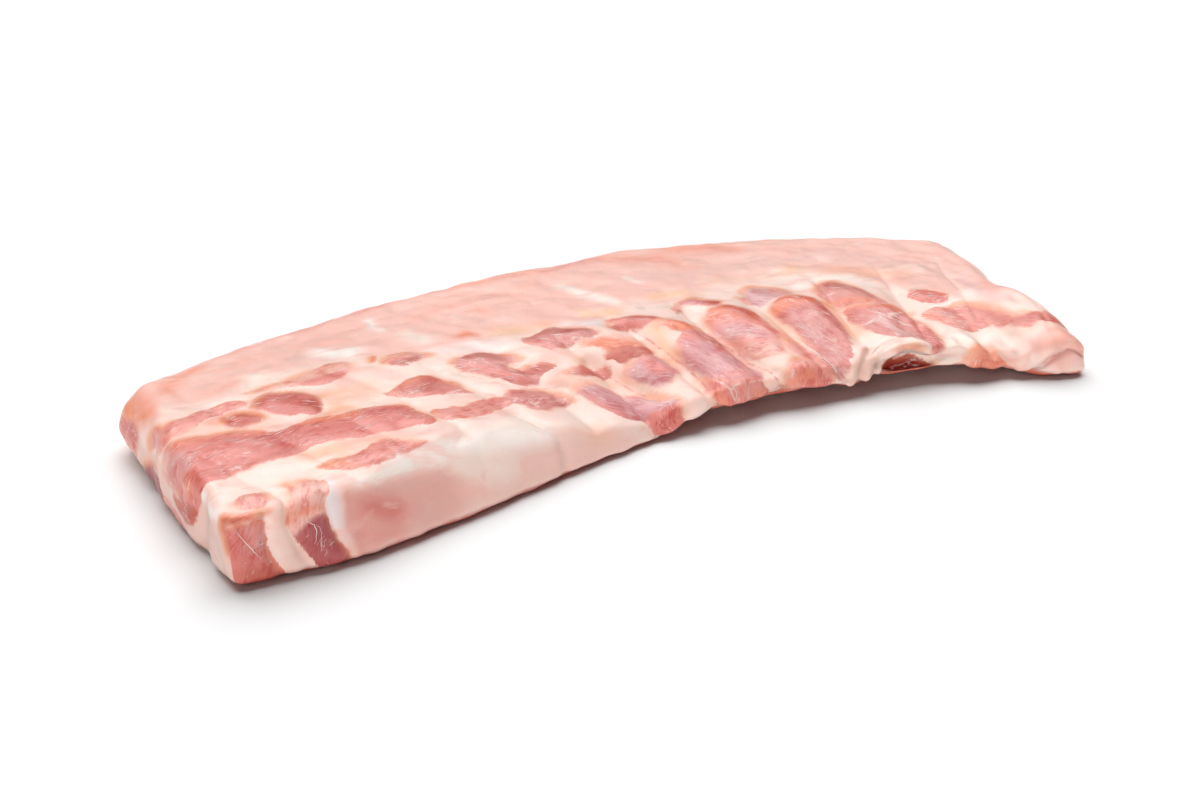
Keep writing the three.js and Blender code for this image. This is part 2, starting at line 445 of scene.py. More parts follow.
    def dressed_x(self, x: Array, y: Array, across: Array, up: Array) -> Array:
        """Gives the two cut ends their relief.

        Args:
            x: places along the rack.
            y: places across the rack.
            across: shares from the near edge to the far edge.
            up: shares from the bone side to the top.

        Returns:
            The places along the rack with the relief.
        """
        at_left = smooth((self.left_depth - (x + self.length / 2)) / self.left_depth)
        half, depth = self.left_seam
        seams = sum(bell((y - seam) / half) for seam in self.left_seams)
        bulge, bulge_at, bulge_half = self.left_bulge
        belly = bulge * bell((up - bulge_at) / bulge_half) * smooth(across * 2.5) - depth * seams
        lip, lip_at, lip_half = self.left_lip
        corner = lip * bell((across - lip_at) / lip_half) * smooth(up * 2 - 1)
        at_right = smooth((x - self.length / 2 + self.right_depth) / self.right_depth)
        waist, waist_at, waist_half = self.right_waist
        near_out, fade = self.right_near_out
        drawn = waist * bell((across - waist_at) / waist_half) - near_out * (1 - smooth(across * fade))
        return x - at_left * (belly + corner) - at_right * drawn

    def chart_of(self, grid: Array, x: Array, bent: Array, drop: Array) -> Array:
        """Lays the skin flat, wall by wall.

        Args:
            grid: shares of the block's surface.
            x: places along the rack before its ends get their relief.
            bent: the rack's points.
            drop: how far each point lies below the top.

        Returns:
            Two columns, U and V.
        """
        top = grid[:, 2] == 1
        near = (grid[:, 1] == 0) & ~top
        far = (grid[:, 1] == 1) & ~top
        left = (grid[:, 0] == 0) & ~(top | near | far)
        right = (grid[:, 0] == 1) & ~(top | near | far)
        under = (grid[:, 2] == 0) & ~(near | far | left | right)
        u = np.where(left | right, x, bent[:, 0])
        down_left = left | (top & (grid[:, 0] < self.end_band))
        down_right = right | (top & (grid[:, 0] > 1 - self.end_band))
        u = u - drop * down_left + drop * down_right
        down_near = near | (top & (grid[:, 1] < self.side_band))
        down_far = far | (top & (grid[:, 1] > 1 - self.side_band))
        v = bent[:, 1] - drop * down_near + drop * down_far
        v = np.where(under, bent[:, 1] - self.underside_offset, v)
        return np.stack([u, v], 1)


# ---- painting ------------------------------------------------------------------------------------


class Tone(Enum):
    """The colours of raw pork, as it looks in even light, save the deepest red, which is painted shade: lean
    as it looks deep in shade.
    """

    MEMBRANE = "#f8c4b8"
    CREAM = "#fbe3d6"
    CREAM_WHITE = "#fdeee6"
    SOFT_FAT = "#fbd9ce"
    SIDE_FAT = "#f5cdc0"
    FLESH_FAT = "#eec5b6"
    PANEL_FAT = "#ebc3b7"
    COOL_FAT = "#f1dfdf"
    APRICOT = "#f8c49c"
    AMBER = "#f4aa80"
    PEACH = "#f5b698"
    PALE_PINK = "#f5bcb0"
    BLUSH = "#f2a089"
    EMBER = "#ea8765"
    FLAME = "#f08f66"
    SALMON = "#ea9d92"
    ROSE = "#e0867c"
    ROSE_DUSK = "#db9089"
    ROSE_LILAC = "#d9979a"
    LILAC = "#d5a3a4"
    LILAC_WHITE = "#e9c9c9"
    FILM_PINK = "#e2b3b0"
    RED = "#d3736a"
    BRICK = "#c75f4b"
    WINE = "#b95c5c"
    DARK_WINE = "#a4525a"
    BROWN_RED = "#b96b5c"
    PINK_TAN = "#e6aba0"
    RUST = "#cd5335"
    # Painted shade: lean as it looks deep in shade.
    SHADED_RED = "#a12a20"
    BONE = "#f3dcd2"
    GREY = "#c6b5af"
    BLOOD = "#e08c88"


class Coat(Enum):
    """What a patch of the skin is made of."""

    LEAN = "bare muscle, with a ragged edge"
    FAT = "fat that lies over muscle"
    STAIN = "a deeper or paler part of the muscle"
    BLUSH = "a colour that shows through fat or membrane"
    FILM = "silverskin over muscle"
    SINEW = "a fine white thread"
    # A fold's red line is partly painted shade in the crease.
    CREASE = "a fine red fold"


@dataclass(frozen=True)
class Patch:
    """A patch of skin: points with a radius make a blade, and points without make an outline.

    The grain is the direction of the fibres in degrees from the rack's length.
    """

    coat: Coat
    tone: Tone
    shape: tuple[Point, ...]
    soft: float = 1.0
    amount: float = 1.0
    grain: float = 20.0

    def distance(self, u: Array, v: Array) -> Array:
        """Signed distance in mm from the patch's edge, below 0 inside it.

        Args:
            u: places on the chart.
            v: places on the chart.

        Returns:
            The distances.
        """
        if len(self.shape[0]) == 3:
            return blade_distance(self.shape, u, v)
        return outline_distance(rounded(self.shape), u, v)

    def box(self, margin: float) -> tuple[float, float, float, float]:
        """The part of the chart that the patch can touch.

        Args:
            margin: how far past its points that reaches.

        Returns:
            The lowest and highest U, then the lowest and highest V.
        """
        far = margin + max((p[2] for p in self.shape if len(p) == 3), default=0.0)
        us, vs = [p[0] for p in self.shape], [p[1] for p in self.shape]
        return min(us) - far, max(us) + far, min(vs) - far, max(vs) + far


def blade_distance(points: tuple[Point, ...], u: Array, v: Array) -> Array:
    """Distance from a chain of points whose radius changes evenly between them.

    Args:
        points: rows of U, V and radius.
        u: places on the chart.
        v: places on the chart.

    Returns:
        Signed distances.
    """
    if len(points) == 1:
        return np.hypot(u - points[0][0], v - points[0][1]) - points[0][2]
    best = np.full(u.shape, np.inf)
    for (au, av, ar), (bu, bv, br) in zip(points, points[1:]):
        du, dv = bu - au, bv - av
        t = np.clip(((u - au) * du + (v - av) * dv) / (du * du + dv * dv), 0.0, 1.0)
        best = np.minimum(best, np.hypot(u - au - t * du, v - av - t * dv) - mix(ar, br, t))
    return best


@dataclass
class Line:
    """Where places on the chart lie from a thin line.

    The distance across it has a sign, so that a material can blend it between the mesh's points and
    still draw a line that is finer than their spacing.
    """

    apart: Array
    across: Array
    beyond: Array
    half: Array


def line_fields(points: tuple[Point, ...], u: Array, v: Array, corridor: float = 1.8) -> Line:
    """Measures places from a chain of points with a radius.

    Args:
        points: rows of U, V and radius.
        u: places on the chart.
        v: places on the chart.
        corridor: how far to each side the distance across counts, in mm.

    Returns:
        The line's fields.
    """
    apart = np.full(u.shape, np.inf)
    across, beyond, half = np.zeros(u.shape), np.zeros(u.shape), np.zeros(u.shape)
    last = len(points) - 2
    for number, ((au, av, ar), (bu, bv, br)) in enumerate(zip(points, points[1:])):
        length = math.hypot(bu - au, bv - av)
        du, dv = (bu - au) / length, (bv - av) / length
        along = (u - au) * du + (v - av) * dv
        side = (u - au) * dv - (v - av) * du
        past = np.maximum(0.0, -along) if number == 0 else np.zeros(u.shape)
        past = np.maximum(past, along - length) if number == last else past
        held = np.clip(along, 0.0, length)
        radial = np.hypot(along - held, side)
        width = mix(ar, br, held / length)
        near = radial < apart
        apart[near] = radial[near]
        across[near] = np.where(past > 0, side, np.copysign(radial, side))[near]
        beyond[near] = past[near]
        half[near] = width[near]
    outside = 8.0 * smooth((np.abs(across) - corridor) / 0.8)
    return Line(apart - half, across, beyond + outside, half)


def rounded(corners: tuple[Point, ...], rounds: int = 2) -> Array:
    """Cuts the corners of an outline, as often as asked.

    Args:
        corners: rows of U and V.
        rounds: how many times every corner is cut at a quarter of its sides.

    Returns:
        The new outline.
    """
    line = np.array(corners, float)
    for _ in range(rounds):
        after = np.roll(line, -1, axis=0)
        line = np.stack([mix(line, after, 0.25), mix(line, after, 0.75)], 1).reshape(-1, 2)
    return line


def outline_distance(line: Array, u: Array, v: Array) -> Array:
    """Signed distance from a closed outline.

    Args:
        line: rows of U and V.
        u: places on the chart.
        v: places on the chart.

    Returns:
        Distances, below 0 inside.
    """
    best = np.full(u.shape, np.inf)
    inside = np.zeros(u.shape, bool)
    for (au, av), (bu, bv) in zip(line, np.roll(line, -1, axis=0)):
        du, dv = bu - au, bv - av
        t = np.clip(((u - au) * du + (v - av) * dv) / max(du * du + dv * dv, 1e-9), 0.0, 1.0)
        best = np.minimum(best, np.hypot(u - au - t * du, v - av - t * dv))
        if dv != 0:
            inside ^= ((av > v) != (bv > v)) & (u < du * (v - av) / dv + au)
    return np.where(inside, -best, best)


class Drift:
    """Smooth random wandering over the chart, from a seeded lattice."""

    SIDE = 256

    def __init__(self, seed: int, cell: float) -> None:
        """Draws the lattice.

        Args:
            seed: the seed of the draw.
            cell: the lattice's spacing in mm.
        """
        self.cell = cell
        self.table = np.random.default_rng(seed).uniform(-1, 1, (self.SIDE, self.SIDE))

    def at(self, u: Array, v: Array) -> Array:
        """The lattice's value at places on the chart, from -1 to 1."""
        iu, iv = np.floor(u / self.cell).astype(int), np.floor(v / self.cell).astype(int)
        fu, fv = smooth(u / self.cell - iu), smooth(v / self.cell - iv)
        a, b = iu % self.SIDE, (iu + 1) % self.SIDE
        c, d = iv % self.SIDE, (iv + 1) % self.SIDE
        low = mix(self.table[a, c], self.table[b, c], fu)
        high = mix(self.table[a, d], self.table[b, d], fu)
        return mix(low, high, fv)


# ---- the anatomy ---------------------------------------------------------------------------------

LEAN, FAT, STAIN, BLUSH = Coat.LEAN, Coat.FAT, Coat.STAIN, Coat.BLUSH
FILM, SINEW, CREASE = Coat.FILM, Coat.SINEW, Coat.CREASE

MEMBRANE_SHEET = (
    # The smooth membrane over the far half of the top, down to its uneven near border.
    Patch(BLUSH, Tone.MEMBRANE, (
        (-240, 14), (-176, 11), (-150, 14), (-134, 21), (-112, 23), (-96, 22), (-78, 21), (-60, 13),
        (-40, 14), (-18, 16), (0, 13), (20, 20), (40, 22), (62, 22), (84, 27), (104, 27), (122, 20),
        (134, 2), (142, -12), (168, -26), (182, -44), (240, -44), (240, 130), (-240, 130),
    ), soft=5.0),
    Patch(BLUSH, Tone.BLUSH, ((-189, 8, 3), (-189, 22, 5), (-188, 40, 5)), soft=5, amount=0.9),
    Patch(BLUSH, Tone.BLUSH, ((-178, 26, 2), (-170, 36, 3.5), (-158, 45, 3)), soft=5),
    Patch(BLUSH, Tone.CREAM, ((-185, 2, 1), (-183, 14, 1.2), (-178, 24, 1)), soft=2.5, amount=0.4),
    Patch(BLUSH, Tone.BLUSH, ((-166, 13, 3), (-150, 18, 3)), soft=6, amount=0.4),
    Patch(BLUSH, Tone.CREAM, ((-146, 14, 3), (-141, 22, 6)), soft=5),
    Patch(BLUSH, Tone.CREAM_WHITE, ((-109, 33, 5), (-100, 26, 6)), soft=5),
    Patch(BLUSH, Tone.CREAM_WHITE, ((-80, 60, 2), (-78, 45, 2)), soft=3),
    Patch(BLUSH, Tone.CREAM, ((-71, 34, 4), (-66, 24, 4)), soft=5),
    Patch(BLUSH, Tone.PALE_PINK, ((-104, 48, 9), (-92, 54, 8)), soft=9, amount=0.6),
    Patch(BLUSH, Tone.SALMON, ((-184, 48, 3), (-120, 65, 3), (-70, 74, 3)), soft=4, amount=0.9),
    Patch(BLUSH, Tone.BLUSH, (
        (-70, 74, 3), (-40, 74, 2.5), (-10, 74, 2), (12, 76, 3),
    ), soft=4, amount=0.75),
    Patch(BLUSH, Tone.SALMON, ((14, 76, 2), (26, 77, 5), (40, 75, 3)), soft=5, amount=0.8),
    Patch(BLUSH, Tone.BLUSH, ((46, 72, 4), (62, 62, 6), (68, 50, 4)), soft=8, amount=0.8),
    Patch(BLUSH, Tone.BLUSH, ((74, 72, 4), (88, 68, 6), (100, 63, 4)), soft=8, amount=0.85),
    Patch(BLUSH, Tone.BLUSH, ((-150, 38, 3), (-120, 46, 3), (-96, 44, 2)), soft=5, amount=0.25),
    Patch(BLUSH, Tone.BLUSH, ((-60, 52, 3), (-30, 56, 3), (0, 60, 2)), soft=6, amount=0.4),
    Patch(BLUSH, Tone.CREAM_WHITE, (
        (9, 52, 2.5), (13, 40, 4), (17, 32, 4), (21, 25, 2),
    ), soft=3.5, amount=0.9),
    Patch(BLUSH, Tone.CREAM_WHITE, ((40.5, 49, 1), (41.5, 40, 1.2)), soft=2.5),
    Patch(BLUSH, Tone.EMBER, ((-52, 20, 2), (-47, 21, 3)), soft=3.5),
    Patch(BLUSH, Tone.BLUSH, ((-34, 46, 2), (-31, 43, 2)), soft=5, amount=0.8),
    Patch(BLUSH, Tone.APRICOT, ((-36, 17, 4), (-28, 18, 4)), soft=6, amount=0.8),
    Patch(BLUSH, Tone.PEACH, ((-18, 18, 4),), soft=5, amount=0.9),
    Patch(BLUSH, Tone.APRICOT, ((4, 21, 2), (15, 17, 4)), soft=5, amount=0.85),
    Patch(BLUSH, Tone.APRICOT, ((39, 22, 3), (53, 21, 4)), soft=5, amount=0.9),
    Patch(BLUSH, Tone.APRICOT, ((76, 26, 5), (92, 28, 4)), soft=7, amount=0.25),
    Patch(BLUSH, Tone.COOL_FAT, ((-68, 15, 3), (-54, 9, 5), (-41, 6, 4)), soft=5, amount=0.5),
    Patch(BLUSH, Tone.COOL_FAT, ((-8, 12, 4), (2, 8, 4)), soft=4, amount=0.8),
    Patch(BLUSH, Tone.SIDE_FAT, ((28, 20, 6),), soft=6, amount=0.5),
    Patch(BLUSH, Tone.GREY, ((26.6, 14.5, 0.6), (27.2, 13, 0.9)), soft=1.2),
    Patch(BLUSH, Tone.PALE_PINK, ((-22, 38, 6), (-12, 33, 8)), soft=12, amount=0.4),
    Patch(BLUSH, Tone.GREY, (
        (46, 44, 5), (100, 38, 9), (132, 32, 9), (158, 12, 9), (168, 0, 6),
    ), soft=14, amount=0.25),
    Patch(BLUSH, Tone.APRICOT, ((102, 24, 4), (112, 27, 4)), soft=6, amount=0.6),
    Patch(BLUSH, Tone.PEACH, ((124, 17, 5), (136, 9, 6), (150, 2, 4)), soft=7, amount=0.65),
    Patch(BLUSH, Tone.CREAM_WHITE, (
        (104, 12, 3), (100, 20, 3), (126, 6, 3), (131, -8, 4),
    ), soft=5, amount=0.8),
)

LEFT_THIRD = (
    # Creamy fat between the membrane and the first muscles.
    Patch(BLUSH, Tone.SOFT_FAT, ((-188, -62, 6), (-172, -61, 6), (-154, -61, 4)), soft=4),
    Patch(BLUSH, Tone.AMBER, ((-124, -8, 4), (-117, -8, 4)), soft=4),
    Patch(BLUSH, Tone.AMBER, ((-127, -23, 2.5), (-120, -22, 2.5)), soft=3, amount=0.8),
    Patch(BLUSH, Tone.AMBER, ((-150, -55, 3), (-138, -55, 4), (-128, -55, 3)), soft=4, amount=0.8),
    Patch(BLUSH, Tone.BLUSH, ((-124, -52.5, 3), (-117, -52.5, 3)), soft=4, amount=0.7),
    Patch(BLUSH, Tone.BLUSH, ((-170, -10, 2), (-160, -6, 2), (-154, -8, 1.5)), soft=2.5, amount=0.8),
    Patch(BLUSH, Tone.PEACH, ((-98, -28, 2), (-95, -40, 2), (-92.5, -47, 1.5)), soft=2.5, amount=0.6),
    Patch(BLUSH, Tone.CREAM, ((-108, -20, 2), (-101, -12, 2), (-94, -8, 1.5)), soft=3, amount=0.8),
    Patch(BLUSH, Tone.PALE_PINK, (
        (-192, 2, 2), (-176, 3, 2.5), (-150, 6, 2), (-130, -1, 1.5),
    ), soft=4, amount=0.2),
    Patch(BLUSH, Tone.BLUSH, ((-188, -12, 5), (-168, -14, 5), (-150, -20, 4)), soft=5, amount=0.6),
    Patch(BLUSH, Tone.PEACH, ((-124, -20, 5), (-112, -14, 5), (-104, -6, 4)), soft=6, amount=0.6),
    Patch(BLUSH, Tone.PALE_PINK, ((-118, -4, 5), (-104, 4, 5), (-96, -2, 4)), soft=6, amount=0.7),
    Patch(BLUSH, Tone.PEACH, ((-92, -32, 4), (-74, -31, 3)), soft=5, amount=0.2),
    Patch(BLUSH, Tone.PALE_PINK, ((-130, -54, 5), (-104, -56, 5), (-92, -58, 3)), soft=6, amount=0.6),
    # A pale lens, the red lens beside it, and a red tick.
    Patch(LEAN, Tone.PINK_TAN, (
        (-152, 7), (-146, 9), (-138, 10.5), (-130, 12), (-122, 16), (-114, 18), (-106, 17), (-104, 12),
        (-106, 8), (-110, 4), (-115, 1), (-120, -0.5), (-126, 1.5), (-131, 4), (-138, 6), (-146, 5.5),
    ), soft=1.1, grain=12),
    Patch(STAIN, Tone.PEACH, ((-150, 7, 2), (-132, 9.5, 2.5), (-112, 14, 4)), soft=4, amount=0.5),
    Patch(STAIN, Tone.ROSE, ((-127, 4.5, 2), (-119, 4, 4), (-111, 6, 2)), soft=2.5),
    Patch(LEAN, Tone.EMBER, ((-95.5, 11, 0.4), (-94, 14, 0.9), (-92.5, 16.5, 0.4)), soft=0.8),
    Patch(LEAN, Tone.SALMON, (
        (-92.5, 8), (-90, 13), (-87, 16.5), (-80, 17.5), (-76, 15), (-71, 11), (-70.5, 8.5), (-75, 6.5),
        (-79, 4), (-83, 2.5), (-87, 4), (-90, 6),
    ), grain=8),
    Patch(STAIN, Tone.PEACH, ((-88, 14, 1.5), (-79, 15, 2)), soft=3),
    Patch(STAIN, Tone.BROWN_RED, ((-89, 8, 1), (-82, 6.5, 3), (-75, 8.5, 1)), soft=2),
    # A triangular lens with an orange brow.
    Patch(LEAN, Tone.ROSE, (
        (-104, -17), (-97, -14), (-93, -11), (-88, -7), (-84, -7), (-80, -8), (-77, -12), (-74, -17),
        (-71, -22), (-67.5, -26), (-72, -26), (-78, -25), (-84, -26.5), (-90, -27), (-95, -24), (-99, -20),
    ), grain=15),
    Patch(STAIN, Tone.BROWN_RED, ((-93, -21, 1.5), (-84, -18, 4), (-77, -20, 2)), soft=4, amount=0.55),
    Patch(STAIN, Tone.BLUSH, ((-90, -9.5, 1.5), (-84, -8.5, 1.5)), soft=2),
    Patch(LEAN, Tone.SALMON, (
        (-94, -40), (-91, -37.5), (-84, -37.5), (-77, -37.5), (-72, -34.5), (-66, -31), (-61, -30),
        (-57, -34), (-56, -37.5), (-62, -40.5), (-67, -43.5), (-74, -47), (-81, -48.5), (-88, -48.5),
        (-92, -46),
    ), grain=20),
    Patch(STAIN, Tone.PEACH, ((-93, -43, 1.5),), soft=2.5, amount=0.8),
    # The upper strip, its red blot and the dark oval at its end.
    Patch(LEAN, Tone.SALMON, (
        (-200, -3), (-186, -4), (-180, -3), (-172, 0.5), (-165, 3), (-157, 3.5), (-152, 2.5), (-150, -1),
        (-155, -4), (-162, -4.5), (-168, -6), (-175, -10), (-181, -14), (-190, -14), (-200, -13),
    ), soft=0.8, grain=12),
    Patch(STAIN, Tone.PALE_PINK, ((-168, 0, 1.5), (-156, 1, 1.5)), soft=3),
    Patch(LEAN, Tone.BRICK, (
        (-167, -12), (-165, -8), (-160, -6.5), (-155, -8), (-152, -12), (-150.5, -17), (-154, -19),
        (-160, -18.5), (-166, -17),
    ), soft=1.2, grain=15),
    Patch(STAIN, Tone.RUST, ((-164, -12, 2.5), (-160, -13, 2)), soft=3, amount=0.6),
    Patch(LEAN, Tone.RED, (
        (-152, -4), (-148, 0), (-142, 2), (-136, 1), (-131, -2), (-127.5, -7), (-126.5, -13), (-128.5, -19),
        (-132, -23), (-137, -22.5), (-142, -19.5), (-147, -14), (-151, -9),
    ), grain=-20),
    Patch(STAIN, Tone.BRICK, ((-147, -4, 2), (-139, -7, 3.5), (-136, -10, 2)), soft=3.5, amount=0.6),
    Patch(STAIN, Tone.BRICK, ((-136, -16, 3), (-131, -19, 2.5)), soft=3),
    # The main band, from the left end to its square right edge.
    Patch(LEAN, Tone.ROSE, (
        (-204, -18), (-186, -18), (-178, -19), (-170, -20), (-163, -21.5), (-157, -23.5), (-153, -28),
        (-149, -30.5), (-145, -27.5), (-140, -25.5), (-132, -26), (-124, -27), (-116, -26.5), (-108, -26),
        (-102, -27), (-98, -30), (-96, -36), (-94, -43), (-93, -48.5), (-99, -49.5), (-108, -49),
        (-118, -49.5), (-128, -50), (-136, -49), (-142, -49), (-147, -51.5), (-154, -53.5), (-164, -53),
        (-172, -53), (-180, -55.5), (-188, -56.5), (-204, -56),
    ), soft=0.9, grain=14),
    Patch(STAIN, Tone.BLUSH, ((-188, -21, 1.5), (-172, -22, 3), (-158, -26, 2)), soft=3.5),
    Patch(STAIN, Tone.FLAME, ((-141, -28, 1.5), (-130, -29, 2.5), (-118, -28.5, 1.5)), soft=3, amount=0.8),
    Patch(STAIN, Tone.RED, ((-158, -33, 3), (-151, -39, 4), (-153, -46, 4)), soft=4),
    Patch(STAIN, Tone.RED, ((-140, -38, 2.5), (-130, -37, 4), (-122, -41, 2)), soft=4, amount=0.75),
    Patch(STAIN, Tone.RED, ((-116, -33, 1.5), (-108, -31, 3), (-101, -31.5, 1.5)), soft=3),
    Patch(STAIN, Tone.BRICK, (
        (-188, -52, 1.5), (-172, -50, 1.5), (-158, -50, 2), (-148, -48, 2),
    ), soft=2.5, amount=0.9),
    Patch(FILM, Tone.LILAC_WHITE, ((-171, -31, 1.5), (-165, -35, 3), (-158, -41, 2)), soft=3, amount=0.6),
    Patch(FILM, Tone.LILAC_WHITE, ((-144, -36, 1), (-140, -41, 1.5)), soft=2.5, amount=0.2),
    Patch(FILM, Tone.LILAC_WHITE, ((-194, -24, 2), (-188, -30, 3), (-190, -42, 2)), soft=3, amount=0.8),
    # The third muscle, and the pale and red spots towards the near corner.
    Patch(LEAN, Tone.SALMON, (
        (-150, -64), (-143, -61), (-136, -61.5), (-129, -60), (-123, -57), (-117, -54), (-112, -57),
        (-107, -60.5), (-102, -62.5), (-108, -64.5), (-115, -66.5), (-122, -69), (-130, -71.5),
        (-137, -70.5), (-143, -68.5), (-149, -67),
    ), soft=0.8, grain=22),
    Patch(STAIN, Tone.AMBER, ((-150, -65, 2.5), (-141, -65, 2.5)), soft=4, amount=0.9),
    Patch(STAIN, Tone.ROSE, ((-126, -64, 2.5), (-114, -61, 2.5)), soft=3.5, amount=0.85),
    Patch(STAIN, Tone.BRICK, ((-137, -70.3, 0.6), (-124, -68.3, 0.6)), soft=1.2, amount=0.7),
    Patch(LEAN, Tone.SALMON, (
        (-184, -76), (-182, -72), (-177, -71), (-172.5, -72), (-171.5, -77), (-174, -82), (-180, -82),
        (-184, -80),
    ), soft=1.2, grain=80),
    Patch(STAIN, Tone.SOFT_FAT, ((-181, -75, 2),), soft=2.5, amount=0.8),
    Patch(LEAN, Tone.RUST, ((-163, -70.5, 0.4), (-162, -73.5, 0.8), (-163.5, -76, 0.3)), soft=1.0),
)

NEAR_WALL = (
    # Both tones of fat on the cut near wall. High on the wall the cream is partly painted light, where the
    # rounded rim catches the light over creamy fat.
    Patch(BLUSH, Tone.FLESH_FAT, ((-169, -84, 5), (-168, -100, 6), (-166, -118, 6)), soft=3, amount=0.4),
    Patch(BLUSH, Tone.PALE_PINK, ((-96, -92, 11), (-60, -78, 11), (-20, -62, 8)), soft=8, amount=0.5),
    Patch(BLUSH, Tone.FLESH_FAT, ((-98, -106, 5), (-70, -92, 5), (-46, -80, 4)), soft=5, amount=0.5),
    # Painted light: a paler, creamier band under the rounded rim, over creamy fat.
    Patch(BLUSH, Tone.CREAM_WHITE, (
        (-120, -72, 4), (-96, -67, 5), (-74, -64, 7), (-56, -58, 7),
    ), soft=6, amount=0.9),
    Patch(BLUSH, Tone.CREAM, ((-92, -78, 5), (-78, -80, 8)), soft=7, amount=0.8),
    Patch(BLUSH, Tone.COOL_FAT, (
        (-149, -74, 2), (-150, -84, 3.2), (-150.5, -93, 2.6), (-147.5, -103, 2), (-144, -114, 2),
    ), soft=1.5),
    # The dark block at the square corner.
    Patch(LEAN, Tone.BLUSH, ((-193, -85, 2.6), (-184, -84.5, 2.4), (-175, -84.5, 1.6)), soft=1.2, grain=0),
    Patch(STAIN, Tone.BRICK, ((-194, -85, 2.5), (-188, -85, 2.2)), soft=2.0),
    Patch(STAIN, Tone.PEACH, ((-178, -84.5, 2),), soft=3, amount=0.9),
    Patch(LEAN, Tone.ROSE, (
        (-196, -86.5), (-183, -87), (-178, -87), (-175.5, -89), (-176.5, -95), (-177, -101), (-175, -106),
        (-171, -112), (-168, -120), (-196, -120),
    ), soft=0.5, grain=75),
    Patch(STAIN, Tone.RED, ((-190, -94, 2), (-186, -100, 3)), soft=3, amount=0.8),
    Patch(STAIN, Tone.BRICK, ((-186, -108, 3), (-178, -114, 4)), soft=4, amount=0.8),
    Patch(FILM, Tone.LILAC, ((-183, -89, 2), (-179, -93, 3), (-179, -98, 2)), soft=1.5, amount=0.4),
    # The second block: rose above, an orange strip, and wine below.
    Patch(LEAN, Tone.MEMBRANE, (
        (-163, -73.5), (-157, -70.5), (-150.5, -72), (-150.5, -80), (-153, -87), (-153.5, -92),
        (-152, -98), (-149.5, -105), (-146, -112), (-143, -120), (-156, -120), (-160, -112),
        (-163.5, -106), (-167, -98), (-168.5, -91), (-166.5, -84), (-164.5, -78),
    ), soft=0.6, grain=70),
    Patch(STAIN, Tone.PALE_PINK, ((-160, -80, 3), (-154, -82, 2)), soft=4, amount=0.6),
    Patch(STAIN, Tone.BLUSH, ((-167, -91, 2.5), (-159, -88, 1.5), (-153, -88, 1)), soft=1.6, amount=0.8),
    Patch(STAIN, Tone.WINE, (
        (-160, -92.5), (-153, -91), (-150, -100), (-146, -113), (-144, -122), (-158, -122), (-163, -107),
        (-167, -99), (-163, -95.5),
    ), soft=1.2),
    Patch(STAIN, Tone.WINE, ((-164, -100, 2.5), (-160, -110, 3)), soft=2.5, amount=0.8),
    Patch(STAIN, Tone.DARK_WINE, ((-156, -96, 2), (-150, -104, 2)), soft=3, amount=0.7),
    # The broad muscle that shows through thin fat, with its cream border along the rim, which is partly
    # painted light.
    Patch(BLUSH, Tone.PINK_TAN, (
        (-146, -80), (-138, -78), (-120, -76.5), (-105, -77), (-97, -80), (-93, -88), (-95, -98),
        (-104, -107), (-120, -114), (-140, -120), (-144, -120), (-146.5, -105), (-148, -93), (-147.5, -85),
    ), soft=6.0, amount=0.75),
    Patch(BLUSH, Tone.PINK_TAN, (
        (-144, -84, 1), (-145.5, -94, 1.5), (-143, -106, 2), (-141, -116, 2),
    ), soft=1.4),
    # Painted light along the rounded rim, over a thin cream border of fat.
    Patch(BLUSH, Tone.CREAM_WHITE, ((-138, -78, 2), (-120, -75, 2.5), (-104, -74, 3)), soft=4),
    Patch(BLUSH, Tone.ROSE, ((-136, -93, 6), (-128, -97, 6)), soft=7),
    Patch(BLUSH, Tone.SALMON, ((-118, -92, 5), (-106, -88, 3)), soft=8, amount=0.3),
    Patch(BLUSH, Tone.SALMON, ((-143, -90, 2), (-141, -106, 3), (-128, -108, 3)), soft=5, amount=0.9),
    # Painted light along the rounded rim, over a thin cream border of fat.
    Patch(BLUSH, Tone.CREAM_WHITE, (
        (-139, -77, 0.7), (-125, -74, 0.7), (-110, -70.5, 0.8), (-95, -67, 0.9), (-75, -62, 0.9),
        (-62, -57, 0.6),
    ), soft=1.2),
    # A fold line, partly painted shade.
    Patch(CREASE, Tone.PEACH, ((-59, -46, 0.2), (-52, -55, 0.2), (-47, -62, 0.3), (-46, -68, 0.2))),
    Patch(BLUSH, Tone.PEACH, ((-33, -58, 5), (-25, -55, 4)), soft=5, amount=0.5),
)

